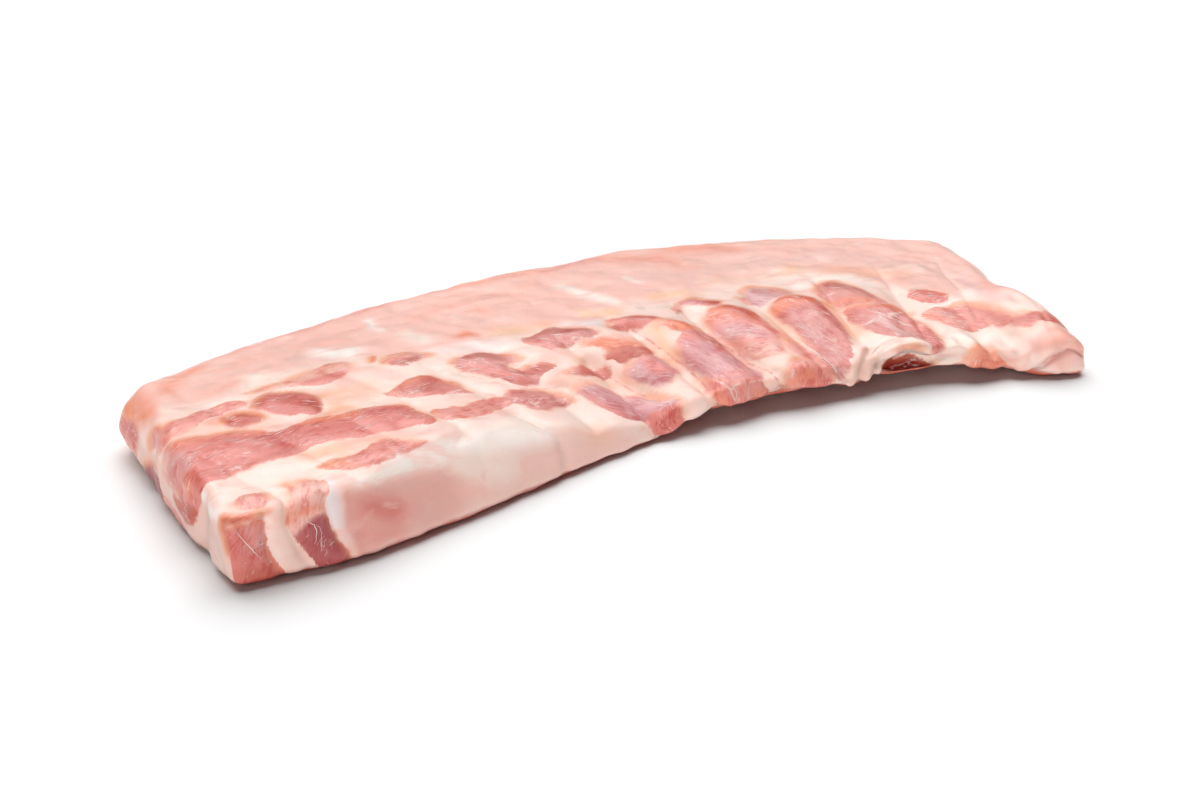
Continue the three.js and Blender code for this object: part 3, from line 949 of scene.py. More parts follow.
MIDDLE_THIRD = (
    Patch(BLUSH, Tone.SIDE_FAT, (
        (-10, -20, 8), (40, -25, 16), (100, -20, 18), (150, -30, 14),
    ), soft=12, amount=0.7),
    # The first lens: a dark oval above, a red one below, and film between them.
    Patch(LEAN, Tone.ROSE_DUSK, (
        (-67.5, -3), (-63, 1), (-56, 3), (-49, 2), (-45, -1.5), (-41.5, -5), (-38, -9), (-44, -9),
        (-48, -10), (-47, -13), (-42, -13.5), (-37, -12.5), (-31, -12.5), (-25.5, -15.5), (-31, -18),
        (-36, -20), (-41, -24), (-47, -23.5), (-52, -20), (-58, -16), (-62, -12), (-66, -8),
    ), grain=-25),
    Patch(STAIN, Tone.BROWN_RED, ((-61, -2, 2), (-54, -2.5, 3), (-47, -5, 2)), soft=3, amount=0.5),
    Patch(STAIN, Tone.BRICK, ((-44, -14, 2), (-37, -14.5, 3.6), (-29, -15.5, 2.2)), soft=2.5),
    Patch(STAIN, Tone.ROSE, ((-61, -9, 2), (-52, -16, 3), (-45, -21, 2)), soft=3),
    Patch(FILM, Tone.LILAC_WHITE, ((-54, -8, 1.5), (-47, -11.5, 2), (-44, -16, 1)), soft=2.5, amount=0.2),
    Patch(LEAN, Tone.ROSE_DUSK, (
        (-60, -31), (-55, -27.5), (-48, -26), (-42, -27), (-37, -29), (-33, -33), (-29.5, -37),
        (-35, -37.5), (-39, -40), (-44, -42.5), (-50, -41.5), (-56, -38), (-60, -35),
    ), grain=15),
    Patch(STAIN, Tone.RED, ((-37, -31, 1), (-32, -36, 1)), soft=2.5, amount=0.8),
    Patch(STAIN, Tone.BROWN_RED, ((-52, -32, 3), (-43, -35, 4)), soft=5, amount=0.1),
    # The pair of lenses at the membrane's border.
    Patch(LEAN, Tone.ROSE_DUSK, (
        (-33, 5), (-31, 8.5), (-26, 9), (-20, 12.5), (-16, 13), (-11, 9), (-6, 5), (-2, 0), (0, -4),
        (-6, -4.5), (-12, -4.5), (-18, -5.5), (-24, -7.5), (-28, -4), (-32, -1),
    ), grain=-30),
    Patch(STAIN, Tone.BROWN_RED, ((-20, 9, 2), (-12, 4, 3.5), (-5, -1, 2)), soft=3, amount=0.9),
    Patch(STAIN, Tone.SALMON, ((-30, 2, 2), (-24, -3, 2)), soft=3, amount=0.9),
    Patch(BLUSH, Tone.PEACH, ((-36, -1, 2), (-40, -4, 2)), soft=4, amount=0.2),
    Patch(BLUSH, Tone.PALE_PINK, ((-27, -11, 3), (-22, -8, 2)), soft=4),
    # Orange brows and the lean under them.
    Patch(LEAN, Tone.EMBER, (
        (-10, -6, 1.5), (-3, -8, 3.4), (4, -10.5, 3.4), (12, -13, 1.5),
    ), soft=2.6, grain=-20),
    Patch(LEAN, Tone.BRICK, ((-4, -14, 2), (4, -15.5, 4.4), (14, -17.5, 3.2)), soft=1.6, grain=-10),
    Patch(LEAN, Tone.RED, ((-24, -21.5, 1.4), (-17, -20, 3.4), (-8, -21.5, 2.8)), soft=1.6, grain=-10),
    Patch(BLUSH, Tone.BLUSH, ((-27, -20, 2), (-32, -25, 3), (-22, -25, 2)), soft=3, amount=0.8),
    Patch(BLUSH, Tone.PEACH, (
        (-16, -12, 3), (-12, -24, 4), (-5, -27, 3), (14, -24, 2),
    ), soft=5, amount=0.7),
    # The big diagonal muscle and the block at its end, on the wall.
    Patch(LEAN, Tone.ROSE_LILAC, (
        (-28, -31), (-23, -28.5), (-17, -28), (-12, -29.5), (-7, -33), (-2, -33.5), (3, -37), (8, -41.5),
        (12, -46), (10.5, -49.5), (4, -49), (-2, -47.5), (-8, -48.5), (-14, -46), (-19, -41), (-23, -37),
        (-27, -34),
    ), grain=-32),
    Patch(STAIN, Tone.ROSE, ((-25, -33, 1), (-19, -39, 1.5), (-12, -44.5, 1.5)), soft=2.5),
    Patch(FILM, Tone.LILAC_WHITE, (
        (-22, -30, 1.5), (-10, -34, 2.5), (0, -40, 2.5), (7, -46, 1.5),
    ), soft=3, amount=0.35),
    Patch(LEAN, Tone.ROSE, (
        (-7, -41), (2, -42), (9, -43), (12, -50), (12, -56), (10, -64), (3, -64), (-1, -58), (-3, -51),
    ), soft=0.8, grain=80),
    Patch(LEAN, Tone.ROSE_LILAC, (
        (-1, -23.5), (4, -20.5), (10, -20), (16, -20.5), (20, -23), (22, -28), (20, -33), (15.5, -37.5),
        (10, -36.5), (5, -32), (1, -28),
    ), grain=-25),
    Patch(FILM, Tone.LILAC_WHITE, ((2, -24, 2), (8, -31, 2)), soft=3, amount=0.8),
    Patch(STAIN, Tone.ROSE, ((12, -25, 3), (16, -30, 3)), soft=3),
    # The second pair, its orange brow and the big muscle down to the wall.
    Patch(LEAN, Tone.RED, ((6.5, 4, 1.2), (8.5, 1.5, 3.4), (12, 5, 2.4)), soft=0.9, grain=-30),
    Patch(LEAN, Tone.ROSE, (
        (8, 8), (11, 10.5), (15, 8.5), (20, 7), (25, 3), (31, -1.5), (24, -3), (18, -3), (13, -1), (9, 2),
    ), grain=-30),
    Patch(STAIN, Tone.BROWN_RED, ((16, 4, 1.5), (23, 1, 1.5)), soft=3, amount=0.9),
    Patch(FILM, Tone.LILAC_WHITE, ((10, 9, 1.5), (14, 6, 1.5)), soft=2, amount=0.1),
    Patch(LEAN, Tone.EMBER, (
        (21, -1, 1.4), (27, -5, 3.6), (33, -9, 4), (42, -12.5, 1.6),
    ), soft=3, grain=-25),
    Patch(STAIN, Tone.PEACH, ((25, -3, 1.5),), soft=3, amount=0.6),
    Patch(BLUSH, Tone.APRICOT, ((22, -7, 3), (23, -15, 2), (20, -24, 2)), soft=4, amount=0.8),
    Patch(LEAN, Tone.ROSE_LILAC, (
        (27, -19), (30, -15), (35, -12), (41, -12), (45, -16), (47.5, -23), (50, -32), (53, -41),
        (52, -46), (49, -49), (44, -49.5), (38, -51), (34, -50), (31, -44), (28, -37), (25, -30), (24, -24),
    ), grain=-60),
    Patch(STAIN, Tone.ROSE, ((33, -18, 2.5), (40, -17, 3), (44, -26, 2.5)), soft=3),
    Patch(STAIN, Tone.BROWN_RED, ((38, -16, 2), (43, -22, 2)), soft=4, amount=0.7),
    Patch(FILM, Tone.LILAC_WHITE, ((27, -25, 1.5), (32, -31, 2), (40, -37, 2)), soft=3, amount=0.25),
    Patch(STAIN, Tone.SALMON, ((34, -45, 2), (44, -44, 3)), soft=4, amount=0.8),
    Patch(LEAN, Tone.SALMON, (
        (26, -36), (29, -40), (34, -44), (42, -45), (49, -44), (52, -56), (50, -64), (38, -64),
        (29, -64), (27, -55), (26, -47),
    ), soft=0.7, grain=85),
    Patch(STAIN, Tone.EMBER, ((29, -52, 2), (31, -60, 2)), soft=3, amount=0.8),
    Patch(STAIN, Tone.EMBER, ((46, -56, 2), (45, -62, 2)), soft=3, amount=0.7),
    Patch(FAT, Tone.SIDE_FAT, ((54, -48, 1.6), (54.5, -56, 2.8), (54, -66, 3.2)), soft=0.8),
    Patch(SINEW, Tone.CREAM_WHITE, ((31.5, -45, 0.3), (34.5, -52, 0.4), (35, -62, 0.3))),
    Patch(SINEW, Tone.CREAM_WHITE, ((36, -51, 0.2), (43, -50.3, 0.3), (50, -49.5, 0.2))),
    # The third pair and what lies under it.
    Patch(LEAN, Tone.PINK_TAN, ((39, 3, 0.8), (41.5, 6.5, 2.2), (43, 10, 1.6)), soft=1.2, grain=60),
    Patch(LEAN, Tone.ROSE_LILAC, (
        (43, 14), (47, 13.5), (52, 15.5), (55, 12), (58, 9.5), (62, 8), (62.5, 4), (59, 2), (55, 2.5),
        (53, 6), (49, 8), (46, 11),
    ), grain=-30),
    Patch(STAIN, Tone.BRICK, ((56, 5, 2.6), (61, 4.5, 3)), soft=2),
    Patch(LEAN, Tone.SALMON, (
        (50, -1), (55.5, 1), (62, -1.5), (69, -7), (71.5, -17), (70.5, -28), (68.5, -37), (63, -39),
        (57, -38), (51.5, -32), (48.5, -23), (48, -14), (48, -6),
    ), soft=1.6, grain=-40),
    Patch(STAIN, Tone.EMBER, ((51, -4, 2), (58, -5, 4.5), (66, -11, 4)), soft=4),
    Patch(STAIN, Tone.BRICK, ((60, -6, 3), (65, -12, 3)), soft=4, amount=0.9),
    Patch(STAIN, Tone.FLESH_FAT, ((53, -30, 2), (60, -35, 2.5), (67, -33, 1.5)), soft=4, amount=0.75),
    Patch(STAIN, Tone.ROSE_LILAC, ((52, -14, 2.5), (57, -19, 4), (64, -25, 2.5)), soft=3, amount=0.85),
    Patch(FILM, Tone.LILAC_WHITE, ((50.5, -13, 1.5), (56, -20, 2.5)), soft=3, amount=0.5),
    Patch(BLUSH, Tone.PEACH, ((73, -14, 1), (74, -24, 1), (45, -6, 1)), soft=3, amount=0.7),
    Patch(LEAN, Tone.ROSE_LILAC, (
        (49, -15), (53, -12.5), (58, -14), (62, -16.5), (67, -15), (70, -21), (69, -28), (63, -31),
        (57, -30), (53, -26), (50, -20),
    ), grain=-40),
    Patch(BLUSH, Tone.BLUSH, ((58, -33, 3), (66, -34, 2)), soft=4, amount=0.6),
    Patch(BLUSH, Tone.SIDE_FAT, ((60, -40, 4), (18, -48, 5), (38, -45, 3)), soft=5),
    # Folds of red fat between the ribs; their red lines are partly painted shade in the creases.
    Patch(CREASE, Tone.RED, (
        (-12, -15, 0.2), (-8, -20, 0.4), (-4, -27, 0.4), (1, -34, 0.3), (6, -41, 0.2),
    ), amount=0.7),
    Patch(CREASE, Tone.RED, (
        (14, -1, 0.2), (17.5, -10, 0.4), (20.5, -18, 0.5), (23, -26, 0.5), (25.5, -34, 0.5), (27, -46, 0.3),
    ), amount=0.8),
    Patch(CREASE, Tone.RED, (
        (43.5, 0, 0.2), (46, -11, 0.4), (48, -21, 0.4), (51, -32, 0.4), (54, -43, 0.4), (57, -56, 0.3),
    ), amount=0.6),
    Patch(CREASE, Tone.BLUSH, (
        (-67, -9, 0.3), (-59, -18, 0.4), (-49, -25, 0.5), (-38, -26, 0.4), (-28, -29, 0.3),
    ), amount=0.8),
    Patch(CREASE, Tone.BLUSH, ((-69, -24, 0.3), (-63, -28, 0.4), (-58, -31, 0.3)), amount=0.8),
    Patch(SINEW, Tone.CREAM_WHITE, ((41, 0, 0.2), (44.5, -11, 0.3), (46.5, -21, 0.3)), amount=0.7),
)

RIGHT_THIRD = (
    Patch(BLUSH, Tone.PEACH, ((103, -11, 2), (103, -25, 2.5), (102, -36, 2.5)), soft=3),
    Patch(BLUSH, Tone.CREAM, (
        (104, -40, 3), (118, -50, 2), (140, -56, 5), (160, -57, 4),
    ), soft=3, amount=0.7),
    Patch(BLUSH, Tone.CREAM, ((132, -60, 3), (136, -72, 5)), soft=4, amount=0.8),
    Patch(BLUSH, Tone.PALE_PINK, ((172, -40, 4), (180, -20, 4)), soft=5),
    Patch(BLUSH, Tone.FILM_PINK, ((172, -14, 2), (170, -34, 2), (178, -44, 2)), soft=3, amount=0.7),
    # The fourth pair of muscles.
    Patch(LEAN, Tone.LILAC, (
        (72, 4), (75, 10), (79, 16), (83, 17.5), (86, 16), (88, 12), (91, 8), (94, 2), (92, -1),
        (86, -1), (82, 0), (78, -2), (74, -1),
    ), grain=-60),
    Patch(FILM, Tone.LILAC_WHITE, ((76, 5, 1.5), (79, 12, 2)), soft=2.5, amount=0.6),
    Patch(STAIN, Tone.SALMON, ((87, 8, 2), (90, 3, 2)), soft=2.5, amount=0.9),
    Patch(LEAN, Tone.SALMON, ((71.5, 3, 1), (73, 7, 1.6)), soft=1.4),
    Patch(LEAN, Tone.ROSE_DUSK, (
        (77, -6), (81, -3), (86, -1), (93.5, -0.5), (99, -3), (102, -8), (102, -15), (101.5, -22),
        (100.5, -32), (97.5, -42), (92, -50), (87.5, -57), (84, -62), (80.5, -56), (80, -44), (80.5, -36),
        (80, -28), (79.5, -20), (77.5, -12),
    ), grain=-70),
    Patch(STAIN, Tone.EMBER, ((79, -9, 3), (86, -6, 5), (96, -8, 5)), soft=4),
    Patch(STAIN, Tone.RUST, ((87, -5, 3), (96, -8, 3)), soft=5, amount=0.75),
    Patch(BLUSH, Tone.AMBER, ((76, -10, 2), (77, -20, 1.5), (84, 0, 1)), soft=3, amount=0.8),
    Patch(STAIN, Tone.RED, ((95, -18, 2), (96, -30, 2), (92, -36, 2)), soft=3, amount=0.7),
    Patch(FILM, Tone.LILAC_WHITE, ((83, -22, 2), (86, -32, 3), (88, -44, 2.5)), soft=3, amount=0.6),
    Patch(LEAN, Tone.SALMON, (
        (69.5, -31), (74, -28.5), (78, -30), (80, -36), (81, -44), (83, -56), (80, -59), (76, -50),
        (72.5, -42), (70, -38),
    ), soft=0.9, grain=-70),
    Patch(STAIN, Tone.SALMON, ((72, -33, 1.5), (75, -41, 1.5)), soft=3, amount=0.9),
    Patch(BLUSH, Tone.BLUSH, ((74, -25, 2.5),), soft=3),
    Patch(LEAN, Tone.SALMON, (
        (60, -50), (65, -44), (71, -42), (77, -46), (80, -53), (82.5, -60), (80, -64), (68, -66), (59, -66),
    ), soft=1.1, grain=70),
    Patch(STAIN, Tone.EMBER, ((63, -57, 1.5), (70, -55, 3)), soft=5, amount=0.8),
    Patch(SINEW, Tone.CREAM_WHITE, ((77.5, -27, 0.3), (80, -38, 0.5), (81.5, -48, 0.4), (84, -57, 0.3))),
    # A fold line, partly painted shade.
    Patch(CREASE, Tone.RED, ((79.5, -30, 0.2), (82, -42, 0.3), (85, -57, 0.3)), amount=0.6),
    # The fat flap, the lip and the hollow under it, whose deep red is painted shade over its lean.
    Patch(FAT, Tone.FLESH_FAT, (
        (86, -66), (86, -60), (89, -54), (95, -48), (101, -45), (106, -47), (104, -54), (101, -60),
        (98, -66),
    ), soft=0.8),
    Patch(BLUSH, Tone.CREAM, (
        (103, -52, 2), (112, -52.5, 2), (121, -55, 2), (127, -60, 1.5),
    ), soft=2.5, amount=0.9),
    # Painted shade: the lean in the hollow under the lip, a deep shaded red.
    Patch(LEAN, Tone.SHADED_RED, (
        (102, -61), (106, -58.5), (112, -57.5), (118, -58), (124, -60), (128, -66), (124, -72), (104, -72),
    ), soft=0.9, grain=0),
    # The fifth muscle: a dark tongue above and a filmed body below.
    Patch(LEAN, Tone.ROSE_DUSK, (
        (104, -3), (107, 3), (111.5, 8.5), (116, 8.5), (119, 5), (120.5, -2), (123, -10), (126, -18),
        (128.5, -23), (122, -22), (115, -19), (110, -18), (106.5, -14), (104.5, -9),
    ), grain=-70),
    Patch(STAIN, Tone.BROWN_RED, ((115, 4, 2), (117, -8, 3), (121, -17, 2)), soft=4, amount=0.8),
    Patch(STAIN, Tone.EMBER, ((107.5, -11.5, 2.5), (113, -15, 2), (121, -19, 1.5)), soft=3, amount=0.9),
    Patch(BLUSH, Tone.FLAME, (
        (103, -12, 1), (106, -17, 1.5), (112, -18.5, 1.5), (120, -21.5, 1.2), (129, -24.5, 1),
        (134, -30, 0.8),
    ), soft=2.5),
    Patch(LEAN, Tone.ROSE_DUSK, (
        (106.5, -18), (112, -19), (118, -21), (124, -23), (129, -25), (133, -30), (134.5, -40),
        (134.5, -50), (133, -60), (129, -61), (124, -56), (120.5, -50), (115.5, -45), (110, -41),
        (107.5, -34), (105.5, -26),
    ), grain=-60),
    Patch(STAIN, Tone.EMBER, (
        (108, -21, 2), (119, -24, 1.5), (127, -27, 1.5), (131.5, -31, 1.2),
    ), soft=2.5, amount=0.85),
    Patch(STAIN, Tone.ROSE, ((130.5, -36, 2), (131.5, -46, 2), (130.5, -56, 1.5)), soft=2.5, amount=0.85),
    Patch(STAIN, Tone.RED, ((110, -24, 3), (112, -31, 2.5)), soft=3, amount=0.9),
    Patch(FILM, Tone.LILAC_WHITE, (
        (112, -33, 1.5), (119, -36, 2.5), (123, -44, 3), (125, -52, 2),
    ), soft=2.5, amount=0.75),
    Patch(SINEW, Tone.CREAM_WHITE, ((115, -26, 0.3), (121, -33, 0.6), (128, -40, 0.3))),
    Patch(SINEW, Tone.CREAM_WHITE, (
        (107, -33, 0.3), (116, -33.5, 0.5), (124, -31.5, 0.5), (131, -30, 0.2),
    )),
    # The small oval, the rosy band and its dark tail to the right end.
    Patch(LEAN, Tone.ROSE, (
        (139, -20), (142, -16.5), (148, -17.5), (153, -21.5), (157, -26.5), (153, -30), (146, -30),
        (141, -26),
    ), soft=1.0, grain=-10),
    Patch(STAIN, Tone.RED, ((147, -23, 2), (151, -26, 2)), soft=3, amount=0.5),
    Patch(BLUSH, Tone.PALE_PINK, ((159, -24, 3), (144, -14, 2)), soft=4, amount=0.8),
    Patch(LEAN, Tone.SALMON, (
        (136.5, -33), (142, -32), (150, -33.5), (158, -33.5), (163, -37), (166.5, -42), (170, -49),
        (172, -54), (178.9, -54), (186, -55), (204, -57), (204, -66), (188, -68), (184, -62), (178, -61),
        (171, -62),
        (164.5, -51.4), (157.5, -51.6), (150, -50), (142.8, -49.5), (140, -43), (137, -38),
    ), grain=-30),
    Patch(STAIN, Tone.BLUSH, ((139, -36, 2), (142, -43, 1.5)), soft=3, amount=0.9),
    Patch(STAIN, Tone.SALMON, ((147, -40, 3), (150, -47, 3)), soft=4, amount=0.6),
    Patch(STAIN, Tone.RED, (
        (163, -38, 1.4), (167, -44, 2.2), (170.5, -54, 2.8), (179, -57.6, 2.6), (186, -62, 2.6),
        (200, -62, 2),
    ), soft=2, amount=0.8),
    Patch(FAT, Tone.CREAM_WHITE, ((143, -31.2, 0.5), (152, -31.8, 0.7), (160, -30.5, 0.5)), soft=0.6),
    # The orange lobe, the knobs of fat and the knuckle.
    Patch(LEAN, Tone.BLUSH, (
        (139, -71), (142, -66), (147, -63.5), (152, -62.5), (154.5, -68), (157.5, -77), (155, -84),
        (146, -84), (139, -80),
    ), soft=1.0, grain=30),
    Patch(STAIN, Tone.RUST, ((144, -75, 3), (151, -79, 3)), soft=5, amount=0.5),
    Patch(BLUSH, Tone.BLUSH, ((159, -72, 4), (161, -84, 4)), soft=3, amount=0.5),
    Patch(BLUSH, Tone.SIDE_FAT, ((161, -66.5, 1), (160.5, -70, 1)), soft=1.2),
    Patch(BLUSH, Tone.MEMBRANE, ((170, -72, 5), (182, -70, 6), (178, -88, 7), (190, -80, 6)), soft=5),
    Patch(BLUSH, Tone.BLUSH, ((176, -74, 3), (185, -73, 4), (188, -80, 4)), soft=6, amount=0.65),
    Patch(BLUSH, Tone.SIDE_FAT, ((174, -62, 2.5), (186, -62, 2.5)), soft=3),
    Patch(BLUSH, Tone.SALMON, ((172, -86, 2.5), (181, -84, 2)), soft=3, amount=0.7),
    # The knuckle's fold line, partly painted shade.
    Patch(CREASE, Tone.BRICK, (
        (167, -85, 0.2), (174, -84, 0.5), (181, -82, 0.5), (187, -84, 0.3),
    ), amount=0.7),
)

LEFT_END = (
    Patch(BLUSH, Tone.PANEL_FAT, (
        (-193, -90), (-193, -50), (-203, -14), (-203, 6), (-198, 44), (-230, 44), (-230, -90),
    ), soft=2.5),
    Patch(BLUSH, Tone.FLAME, ((-194, 14, 3), (-195, 26, 4), (-195, 38, 4)), soft=4, amount=0.9),
    Patch(BLUSH, Tone.CREAM_WHITE, ((-193, -56, 1.5), (-193.5, -66, 2.5), (-192, -78, 2)), soft=2.5),
    Patch(LEAN, Tone.ROSE, (
        (-199, 12), (-197, 19), (-198, 28), (-200, 37), (-206, 41), (-212, 34), (-212, 22), (-209, 16),
        (-204, 13),
    ), soft=2.0, grain=80),
    Patch(STAIN, Tone.RED, ((-201, 16, 1.5), (-202, 26, 2.5)), soft=3),
    Patch(LEAN, Tone.SALMON, (
        (-188, 0), (-196, 3), (-202, 2), (-200, -2), (-197, -6), (-194, -10), (-189, -14),
    ), grain=70),
    Patch(LEAN, Tone.DARK_WINE, (
        (-208, -16.5), (-206, -10), (-207.5, -2), (-209, 4), (-212, 9), (-220, 12), (-224, 2), (-224, -13),
        (-216, -20), (-211, -18),
    ), grain=75),
    Patch(LEAN, Tone.SALMON, (
        (-188, -18), (-194, -15.5), (-199, -15.5), (-201.5, -20), (-201.5, -30), (-200.5, -40),
        (-199.5, -49), (-194, -51.5), (-188, -57),
    ), grain=78),
    Patch(STAIN, Tone.FLAME, ((-195, -44, 2.5), (-195.5, -50, 2)), soft=3, amount=0.8),
    Patch(LEAN, Tone.SALMON, ((-203, -20, 1.3), (-204, -30, 1.8), (-202.5, -40, 1.2)), soft=1.2, grain=80),
    Patch(LEAN, Tone.BRICK, (
        (-208, -27), (-205, -34), (-203.5, -42), (-201, -49), (-200.5, -55), (-205, -54), (-208.5, -52.5),
        (-210.5, -46), (-210.5, -36),
    ), grain=75),
    Patch(LEAN, Tone.SALMON, ((-212, -18), (-220, -19), (-222, -40), (-214, -38)), soft=2.0, grain=80),
    Patch(STAIN, Tone.RED, ((-216, -28, 2.5),), soft=3, amount=0.6),
    Patch(LEAN, Tone.BRICK, ((-190, -83, 2.0), (-198, -83.5, 1.4), (-204, -84, 0.6)), soft=1.2, grain=0),
)

RIGHT_END = (
    Patch(BLUSH, Tone.FLESH_FAT, ((194, -70), (194, 40), (226, 40), (226, -70)), soft=4),
    Patch(LEAN, Tone.ROSE, (
        (198, 6), (197, 20), (201, 28), (208, 24), (208, 8), (203, 2),
    ), soft=1.5, grain=80),
    Patch(LEAN, Tone.RED, ((199, -28), (197, -12), (202, -6), (207, -14), (206, -30)), soft=1.0, grain=80),
    Patch(LEAN, Tone.ROSE_LILAC, ((198, -54), (196, -40), (201, -34), (206, -40), (206, -54)), grain=80),
    Patch(LEAN, Tone.WINE, ((210, -44, 2.5), (211, -20, 3.5), (210, 0, 2)), soft=1.0, grain=80),
    Patch(STAIN, Tone.EMBER, ((200, 12, 2), (200, 22, 2)), soft=3, amount=0.6),
)


@dataclass(frozen=True)
class Swell:
    """A ridge or a valley of the skin: a blade on the chart, how far it falls off, and its rise in mm."""

    route: tuple[Point, ...]
    half: float
    rise: float


RELIEF = (
    # Valleys between neighbouring ribs.
    Swell(((-12, -15, 0.3), (-8, -20, 0.4), (-4, -27, 0.4), (1, -34, 0.4), (6, -41, 0.3)), 2.6, -0.9),
    Swell((
        (8, 3, 0.2), (14, -1, 0.3), (17.5, -10, 0.4), (23, -26, 0.5), (27, -46, 0.4), (27, -62, 0.3),
    ), 3.2, -1.1),
    Swell(((43.5, 0, 0.3), (46, -11, 0.4), (51, -32, 0.5), (54, -43, 0.4), (57, -60, 0.3)), 3.2, -1.1),
    Swell(((72, 0, 0.3), (77, -14, 0.3), (79, -27, 0.4), (81.5, -42, 0.4), (85, -60, 0.3)), 3.0, -1.2),
    Swell(((99, 4, 0.3), (103, -11, 0.4), (103.5, -25, 0.4), (103, -38, 0.3)), 4.5, -0.8),
    Swell(((131, -6, 0.3), (135.5, -25, 0.4), (136, -42, 0.4), (137, -58, 0.3)), 4.5, -0.6),
    Swell(((-67, -9, 0.3), (-59, -18, 0.4), (-49, -25, 0.4), (-38, -26, 0.4), (-28, -29, 0.3)), 2.5, -0.7),
    Swell(((-58, -45, 0.3), (-52, -55, 0.4), (-47, -62, 0.4), (-46, -70, 0.3), (-48, -86, 0.3)), 2.0, -0.9),
    # Meat that bulges beside them.
    Swell(((-4, -38, 1), (2, -44, 1)), 4.0, 0.8),
    Swell(((30, -26, 1), (38, -38, 2), (42, -46, 1)), 5.0, 0.9),
    Swell(((8, -27, 2), (14, -30, 2)), 4.5, 0.7),
    Swell(((27, -6, 1), (33, -8, 1.5)), 3.5, 0.8),
    Swell(((57, -3, 1), (62, -10, 2)), 4.0, 1.0),
    Swell(((58, -22, 2), (64, -24, 2)), 4.0, 0.7),
    Swell(((86, -7, 2), (92, -9, 2)), 4.0, 0.9),
    Swell(((92, -24, 1.5), (93, -34, 1.5)), 3.5, 0.6),
    Swell(((115, -2, 1.5), (118, -14, 2)), 3.5, 0.8),
    Swell(((130, -36, 1), (131.5, -52, 1)), 2.6, 0.9),
    Swell(((-20, 7, 2), (-10, 2, 1.5)), 4.0, 0.6),
    Swell(((12, 6, 1), (20, 3, 1)), 3.5, 0.6),
    Swell(((-140, -7, 4), (-134, -12, 4)), 5.0, 0.8),
    Swell(((-176, -40, 5), (-150, -40, 4), (-120, -38, 3)), 7.0, 0.5),
    Swell(((-196, -12, 0.3), (-180, -16, 0.4), (-160, -21, 0.4), (-140, -24.5, 0.3)), 2.2, -0.6),
    # The near edge: cut blocks of meat with grooves between them.
    Swell(((-3.5, -48, 0.2), (-1.5, -64, 0.3)), 1.5, -0.8),
    Swell(((12.5, -48, 0.2), (11.5, -64, 0.3)), 1.5, -0.8),
    Swell(((35, -50, 0.2), (36, -64, 0.3)), 1.5, -0.9),
    Swell(((43.5, -52, 0.2), (44, -66, 0.2)), 1.3, -0.6),
    Swell(((52, -50, 0.2), (51, -66, 0.2)), 1.4, -0.8),
    Swell(((58, -47, 0.3), (59, -66, 0.3)), 1.6, -1.1),
    Swell(((65, -52, 2.5), (75, -52, 2.5)), 3.5, 1.2),
    # The fat flap: folds that run together at its tip, and the folded lip over its hollow.
    Swell(((88, -66, 0.6), (91, -56, 0.5), (97, -48, 0.4), (103, -44.5, 0.2)), 1.6, 1.0),
    Swell(((91.5, -66, 0.2), (95, -56, 0.3), (101, -48.5, 0.2)), 1.3, -1.0),
    Swell((
        (95, -66, 0.4), (98.5, -57, 0.4), (104, -51, 0.4), (112, -49.5, 0.5), (121, -52, 0.4),
        (129, -58, 0.3),
    ), 1.7, 1.0),
    Swell(((100, -64, 0.2), (103, -54, 0.2), (112, -52, 0.2), (121, -54, 0.2)), 1.2, -0.8),
    Swell((
        (103, -59, 0.6), (108, -55.3, 0.8), (115, -54.8, 0.8), (121, -56.2, 0.8), (128, -61, 0.6),
    ), 2.6, 1.5),
    Swell(((107, -63, 1.5), (114, -62, 2.5), (122, -64, 2.0)), 2.6, -3.2),
    # The lobe, the knobs of fat and the knuckle with its fold.
    Swell(((144, -71, 3), (151, -74, 2)), 4.0, 1.2),
    Swell(((139, -64, 0.3), (137, -74, 0.3), (139, -82, 0.3)), 2.6, -0.7),
    Swell(((154.5, -63, 0.2), (158, -74, 0.3), (158.5, -86, 0.3)), 2.4, -0.9),
    Swell(((161, -67.5, 0.8),), 1.8, 1.6),
    Swell(((162.5, -76, 1.5),), 2.4, 1.2),
    Swell(((166, -61, 0.2), (166.5, -74, 0.3), (167.5, -88, 0.3)), 2.4, -0.7),
    Swell(((166, -85.5, 0.2), (174, -84, 0.4), (181, -82, 0.4), (192, -84, 0.2)), 1.8, -1.7),
    Swell(((177, -75, 4), (184, -74, 3)), 6.0, 1.2),
    # Seams of the near wall at the square corner.
    Swell(((-176, -86, 0.2), (-177, -98, 0.3), (-172, -112, 0.3)), 1.6, -0.8),
    Swell(((-170, -80, 0.4), (-172, -92, 0.8), (-169, -106, 0.8)), 2.4, 0.7),
    Swell(((-166, -76, 0.2), (-168.5, -90, 0.2), (-162, -112, 0.3)), 1.5, -0.6),
    Swell(((-150.5, -72, 0.2), (-153, -88, 0.3), (-150, -105, 0.3), (-144, -118, 0.2)), 1.6, -0.7),
)

ANATOMY = MEMBRANE_SHEET + LEFT_THIRD + NEAR_WALL + MIDDLE_THIRD + RIGHT_THIRD + LEFT_END + RIGHT_END


@dataclass
class Paint:
    """What the painting leaves on each point of the skin."""

    lean: Array
    edge: Array
    brow: Array
    lean_tint: Array
    fat_tint: Array
    fibre: Array
    film: Array
    sinew: Array
    crease: Array
    sinew_apart: Array
    crease_apart: Array
    crease_colour_and_shade: Array
    way: Array


